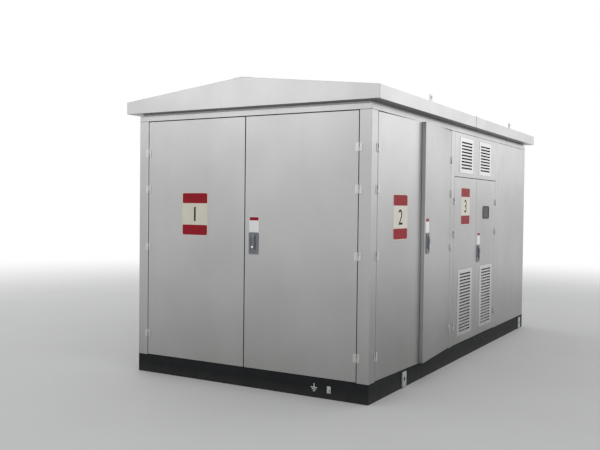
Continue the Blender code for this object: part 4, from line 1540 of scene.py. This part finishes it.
def sign_bands():
    """The red bands at the head and the foot, with a border of the sign left bare round each."""
    half = SIGN_WIDTH / 2 - SIGN_BORDER
    bands = []
    for way in (-1, 1):
        levels = sorted((way * (SIGN_HEIGHT / 2 - SIGN_BORDER), way * (SIGN_HEIGHT / 2 - SIGN_BAND)))
        low = (-half, -SIGN_STEEL - PRINT_STEP, levels[0])
        high = (half, -SIGN_STEEL + PRINT_STEP, levels[1])
        bands.append(plate("band", low, high, SIGN_CORNER - SIGN_BORDER, PRINT_SOFTENING))
    return join("sign_bands", *bands)


sign_patterns = (
    ("sign", sign_plate(), cream_enamel),
    ("sign_rivets", sign_rivets(), zinc),
    ("sign_bands", sign_bands(), red_enamel),
)
print("sign", SIGN_WIDTH, "by", SIGN_HEIGHT, "m")

# %% Model the numerals
SIGN_NUMBERS = {"end": "1", "switch": "2", "bay": "3"}
NUMERAL_SIZE = 0.185


def numeral(text):
    """A numeral as a thin raised print, centred on the sign."""
    bpy.ops.object.select_all(action="DESELECT")
    bpy.ops.object.text_add()
    letter = bpy.context.object.data
    letter.body = text
    letter.size = NUMERAL_SIZE
    letter.align_x = "CENTER"
    letter.align_y = "CENTER"
    letter.resolution_u = 5
    letter.extrude = PRINT_STEP
    bpy.ops.object.convert(target="MESH")
    edit(bpy.context.object)
    bpy.ops.mesh.select_all(action="SELECT")
    bpy.ops.mesh.remove_doubles(threshold=MERGE_DISTANCE)
    made = outwards(done())
    heights = [vert.co.y for vert in made.data.vertices]
    centred = Matrix.Translation((0, -SIGN_STEEL, -(min(heights) + max(heights)) / 2))
    return put(made, centred @ Matrix.Rotation(math.pi / 2, 4, "X"))


numerals = {kind: numeral(text) for kind, text in SIGN_NUMBERS.items()}
print("numerals", ", ".join(SIGN_NUMBERS.values()))

# %% Model the labels
LABEL_WIDTH = 0.095
LABEL_HEIGHT = 0.130
LABEL_STEEL = 0.0009
LABEL_CORNER = 0.005
LABEL_SOFTENING = 0.0002
LABEL_BORDER = 0.003
LABEL_CAP = 0.031
CAP_DEPTHS = (-0.0013, -0.0006)
CAP_CORNER = 0.004


def label_plate():
    half_width, half_height = LABEL_WIDTH / 2, LABEL_HEIGHT / 2
    low = (-half_width, -LABEL_STEEL, -half_height)
    return plate("label", low, (half_width, -STAND_OFF, half_height), LABEL_CORNER, LABEL_SOFTENING)


def label_cap():
    """The red cap at the label's head, inside a narrow border."""
    half_width, half_height = LABEL_WIDTH / 2 - LABEL_BORDER, LABEL_HEIGHT / 2
    low = (-half_width, CAP_DEPTHS[0], half_height - LABEL_CAP)
    high = (half_width, CAP_DEPTHS[1], half_height - LABEL_BORDER)
    return plate("label_cap", low, high, CAP_CORNER, PRINT_SOFTENING)


label_patterns = (("label", label_plate(), white_label), ("label_cap", label_cap(), red_enamel))
print("label", LABEL_WIDTH, "by", LABEL_HEIGHT, "m")

# %% Fit the signs and labels
SIGN_PLACES = {"end": (0.5375, 1.4695), "switch": (0.4345, 1.4685), "bay": (0.3525, 1.567)}
LABEL_FROM_EDGE = {"end": 0.093, "switch": 0.080, "bay": 0.098}
LABEL_OVER_HANDLE = 0.003

for leaf, row in LEAVES.items():
    kind = row["kind"]
    if row["end"] == "left":
        place = on_leaf(row, *SIGN_PLACES[kind])
        layers = (*sign_patterns, ("sign_number", numerals[kind], black_paint))
    else:
        level = HANDLE_LEVELS[kind] + (HANDLE_HEIGHT + LABEL_HEIGHT) / 2 + LABEL_OVER_HANDLE
        place = on_leaf(row, REVEAL / 2 + row["width"] - LABEL_FROM_EDGE[kind], level)
        layers = label_patterns
    for layer, pattern, finish in layers:
        hand_over(copy_of(pattern, f"{leaf}_{layer}", place), finish, row["body"])
drop(*numerals.values(), *[pattern for _, pattern, _ in (*sign_patterns, *label_patterns)])
print("fitted", len(LEAVES) - len(RIGHT_LEAVES), "signs and", len(RIGHT_LEAVES), "labels")

# %% [markdown]
# ## Earth terminal and lifting lugs
#
# The near end of the base carries a bolted terminal for the earth conductor with its sign beside
# it, and the long channels carry galvanised lugs for lifting. The terminal is built up as it is
# bolted: pad, washer, nut and stud. A lug is a plate with burnt corners and a hole for a shackle.
# The hole is round and goes right through, so a Boolean cuts it.

# %% Model the earth terminal
EARTH_AT = (0.8345, 0.078)
PAD_HALF = (0.0175, 0.028)
PAD_DEPTHS = (-0.006, -0.0003)
PAD_CORNER = 0.004
PAD_SOFTENING = 0.0008
BOLT_FOLD = 0.0006
BOLT_STACK = {
    "washer": (0.0145, -0.008, -0.0058, 28),
    "nut": (0.0105, -0.017, -0.0078, 6),
    "stud": (0.006, -0.026, -0.0168, 20),
}


def earth_terminal():
    """The pad and what is bolted on it. Each bolted part has a radius, two depths and its sides."""
    along, level = EARTH_AT
    low = (along - PAD_HALF[0], PAD_DEPTHS[0], level - PAD_HALF[1])
    high = (along + PAD_HALF[0], PAD_DEPTHS[1], level + PAD_HALF[1])
    parts = [plate("pad", low, high, PAD_CORNER, PAD_SOFTENING)]
    for name, sizes in BOLT_STACK.items():
        parts.append(fold(peg(name, EARTH_AT, *sizes), BOLT_FOLD))
    return join("earth_terminal_bolted", *parts)


terminal = put(earth_terminal(), wall_frame("near"))
hand_over(terminal, zinc, "housing", "zinc_plated", "earth_terminal")
print("made", terminal.name)

# %% Model the earth sign
EARTH_SIGN_AT = (0.696, 0.115)
STROKE = 0.0052
STROKE_DEPTHS = (-0.0006, -STAND_OFF)
STROKE_FOLD = 0.0002
STEM_HEIGHT = 0.030
STROKE_SPACING = 0.0145
STROKE_HALVES = (0.029, 0.019, 0.009)


def stroke(half, low, high):
    """One bar of the sign, so wide to each side and between two heights."""
    along = EARTH_SIGN_AT[0]
    front, back = STROKE_DEPTHS
    bar = block("stroke", (along - half, front, low), (along + half, back, high))
    return fold(bar, STROKE_FOLD, 1)


def earth_sign():
    """The stem and the three ever shorter strokes under it."""
    top = EARTH_SIGN_AT[1]
    strokes = [stroke(STROKE / 2, top - STEM_HEIGHT, top)]
    for step, half in enumerate(STROKE_HALVES):
        level = top - STEM_HEIGHT - STROKE_SPACING * step
        strokes.append(stroke(half, level - STROKE, level))
    return join("earth_sign", *strokes)


hand_over(put(earth_sign(), wall_frame("near")), white_label, "housing")
print("made the earth sign of", 1 + len(STROKE_HALVES), "bars")

# %% Model the lifting lugs
LUG_CENTRES = {"near": -1.6585, "far": 2.190}
LUG_HALF_WIDTH = 0.0423
LUG_LEVELS = (0.0092, 0.1408)
LUG_DEPTHS = (-0.0128, -0.0002)
LUG_CORNER = 0.005
LUG_FOLD = 0.0014
LUG_HOLE = 0.0192
CUTTER_SPARE = 0.01


def lug():
    (front, back), (foot, head) = LUG_DEPTHS, LUG_LEVELS
    made = block("lug", (-LUG_HALF_WIDTH, front, foot), (LUG_HALF_WIDTH, back, head))
    edit(made)
    pick("edges", runs_inwards)
    bevel(LUG_CORNER)
    done()
    cutter = peg("cutter", (0, (foot + head) / 2), LUG_HOLE, front - CUTTER_SPARE, CUTTER_SPARE, 28)
    applied(made, "BOOLEAN", operation="DIFFERENCE", solver="EXACT", object=cutter)
    drop(cutter)
    return fold(made, LUG_FOLD)


lug_pattern = lug()
for wall, way in (("front", 1), ("back", -1)):
    for end, centre in LUG_CENTRES.items():
        made = copy_of(lug_pattern, f"{wall}_lug_{end}", on_wall(wall, way * centre))
        hand_over(made, galvanised, "housing")
drop(lug_pattern)
print("fitted", 2 * len(LUG_CENTRES), "lifting lugs")

# %% [markdown]
# ## Roof details
#
# The two halves of the roof meet under a folded ridge cap, and each half is two sheets wide, with a
# strap over the joint that runs down the slope and over the eave. Both are thin strips that follow
# the roof's faces. Each starts as a block, which is cut where it folds and then bent or extruded.
# Rain must not get under them, so their long edges are hemmed, which shows as a thin raised lip,
# and screws with wide heads hold them down at even distances.

# %% Helper for hemmed strips
EAVE_REACH = 1.275
GABLE_REACH = 2.440
FASCIA_LEVELS = (2.379, 2.488)
RIDGE_TOP = 2.631
ROOF_FALL = (RIDGE_TOP - FASCIA_LEVELS[1]) / EAVE_REACH
STRIP_STEEL = 0.0022
STRIP_FOLD = 0.0006
HEM_WIDTH = 0.007
HEM_RISE = 0.0022


def hem(piece, axis, reach):
    """Raises a narrow lip along the two long edges of a strip's top, and rounds its folds."""
    way, line = Vector(axis), reach - HEM_WIDTH
    for side in (-1, 1):
        edit(piece)
        cut(way * side * line, way)
        pick("faces", lambda face: looks((0, 0, 1))(face) and side * middle(face).dot(way) > line)
        push(z=HEM_RISE)
        done()
    return fold(piece, STRIP_FOLD)


print("the roof falls", round(math.degrees(math.atan(ROOF_FALL)), 2), "degrees")

# %% Model the ridge cap and the joint straps
CAP_REACH = 0.085
CAP_SHORT = 0.004
CAP_CLEAR = 0.0003
STRAP_HALF = 0.032
STRAP_FOOT = 0.002
STRAP_UNDER_CAP = 0.006
STRAP_CUT = 0.0002


def ridge_cap():
    """A flat strip along the ridge, whose two long edges are bent down to the slopes."""
    length = GABLE_REACH - CAP_SHORT
    top = RIDGE_TOP + STRIP_STEEL
    made = block("ridge_cap", (-length, -CAP_REACH, RIDGE_TOP), (length, CAP_REACH, top))
    edit(made)
    cut((0, 0, RIDGE_TOP), (0, 1, 0))
    pick("verts", lambda vert: abs(vert.co.y) > CAP_REACH - TINY)
    slide(z=-CAP_REACH * ROOF_FALL + CAP_CLEAR)
    done()
    return hem(made, (0, 1, 0), CAP_REACH)


def joint_strap():
    """Over the eave it is a flat strip. From its top the strip is drawn up the slope to the cap."""
    foot, top = FASCIA_LEVELS
    low = (-STRAP_HALF, -EAVE_REACH - STRIP_STEEL, foot + STRAP_FOOT)
    made = block("joint_strap", low, (STRAP_HALF, -EAVE_REACH - STAND_OFF, top + STRIP_STEEL))
    edit(made)
    cut((0, 0, top + STRAP_CUT), (0, 0, 1))
    pick("faces", lambda face: looks((0, 1, 0))(face) and middle(face).z > top)
    reach = EAVE_REACH - CAP_REACH + STRAP_UNDER_CAP
    push(y=reach, z=reach * ROOF_FALL)
    done()
    return hem(made, (1, 0, 0), STRAP_HALF)


hand_over(ridge_cap(), steel, "housing", "brushed_stainless")
strap = joint_strap()
for name, turn in (("front_joint_strap", 0), ("back_joint_strap", math.pi)):
    made = copy_of(strap, name, Matrix.Rotation(turn, 4, "Z"))
    hand_over(made, steel, "housing", "brushed_stainless")
drop(strap)
print("capped the ridge and the two joints")

# %% Drive the roof screws
HEAD_RADIUS = 0.0085
HEAD_RISE = 0.0045
HEAD_SINK = 0.0008
HEAD_ROUNDING = 0.0026
CAP_SCREWS = 13
CAP_SCREW_SPACING = 0.390
CAP_SCREW_IN = 0.030
STRAP_SCREW_DISTANCES = (0.170, 0.470, 0.770, 1.070)


def roof_screw():
    """A domed washer head, modelled as if on a wall and then turned to look up."""
    made = peg("roof_screw", (0, 0), HEAD_RADIUS, -HEAD_RISE, HEAD_SINK, 16)
    edit(made)
    pick("edges", front_rim(-HEAD_RISE))
    bevel(HEAD_ROUNDING, 3)
    done()
    return put(made, Matrix.Rotation(-math.pi / 2, 4, "X"))


def on_slope(x, distance):
    """A place on the front slope, so far from the ridge, with its Z square to the sheet."""
    place = (x, -distance, RIDGE_TOP + STRIP_STEEL - distance * ROOF_FALL)
    return Matrix.Translation(place) @ Matrix.Rotation(math.atan(ROOF_FALL), 4, "X")


steps = [index - (CAP_SCREWS - 1) / 2 for index in range(CAP_SCREWS)]
spots = [(step * CAP_SCREW_SPACING, CAP_REACH - CAP_SCREW_IN) for step in steps]
spots += [(0, distance) for distance in STRAP_SCREW_DISTANCES]
screw_pattern, screws = roof_screw(), []
for turn in (0, math.pi):
    for spot in spots:
        place = Matrix.Rotation(turn, 4, "Z") @ on_slope(*spot)
        screws.append(copy_of(screw_pattern, "roof_screw", place))
hand_over(join("roof_screws", *screws), zinc, "housing", "zinc_plated")
drop(screw_pattern)
print("drove", len(screws), "roof screws")
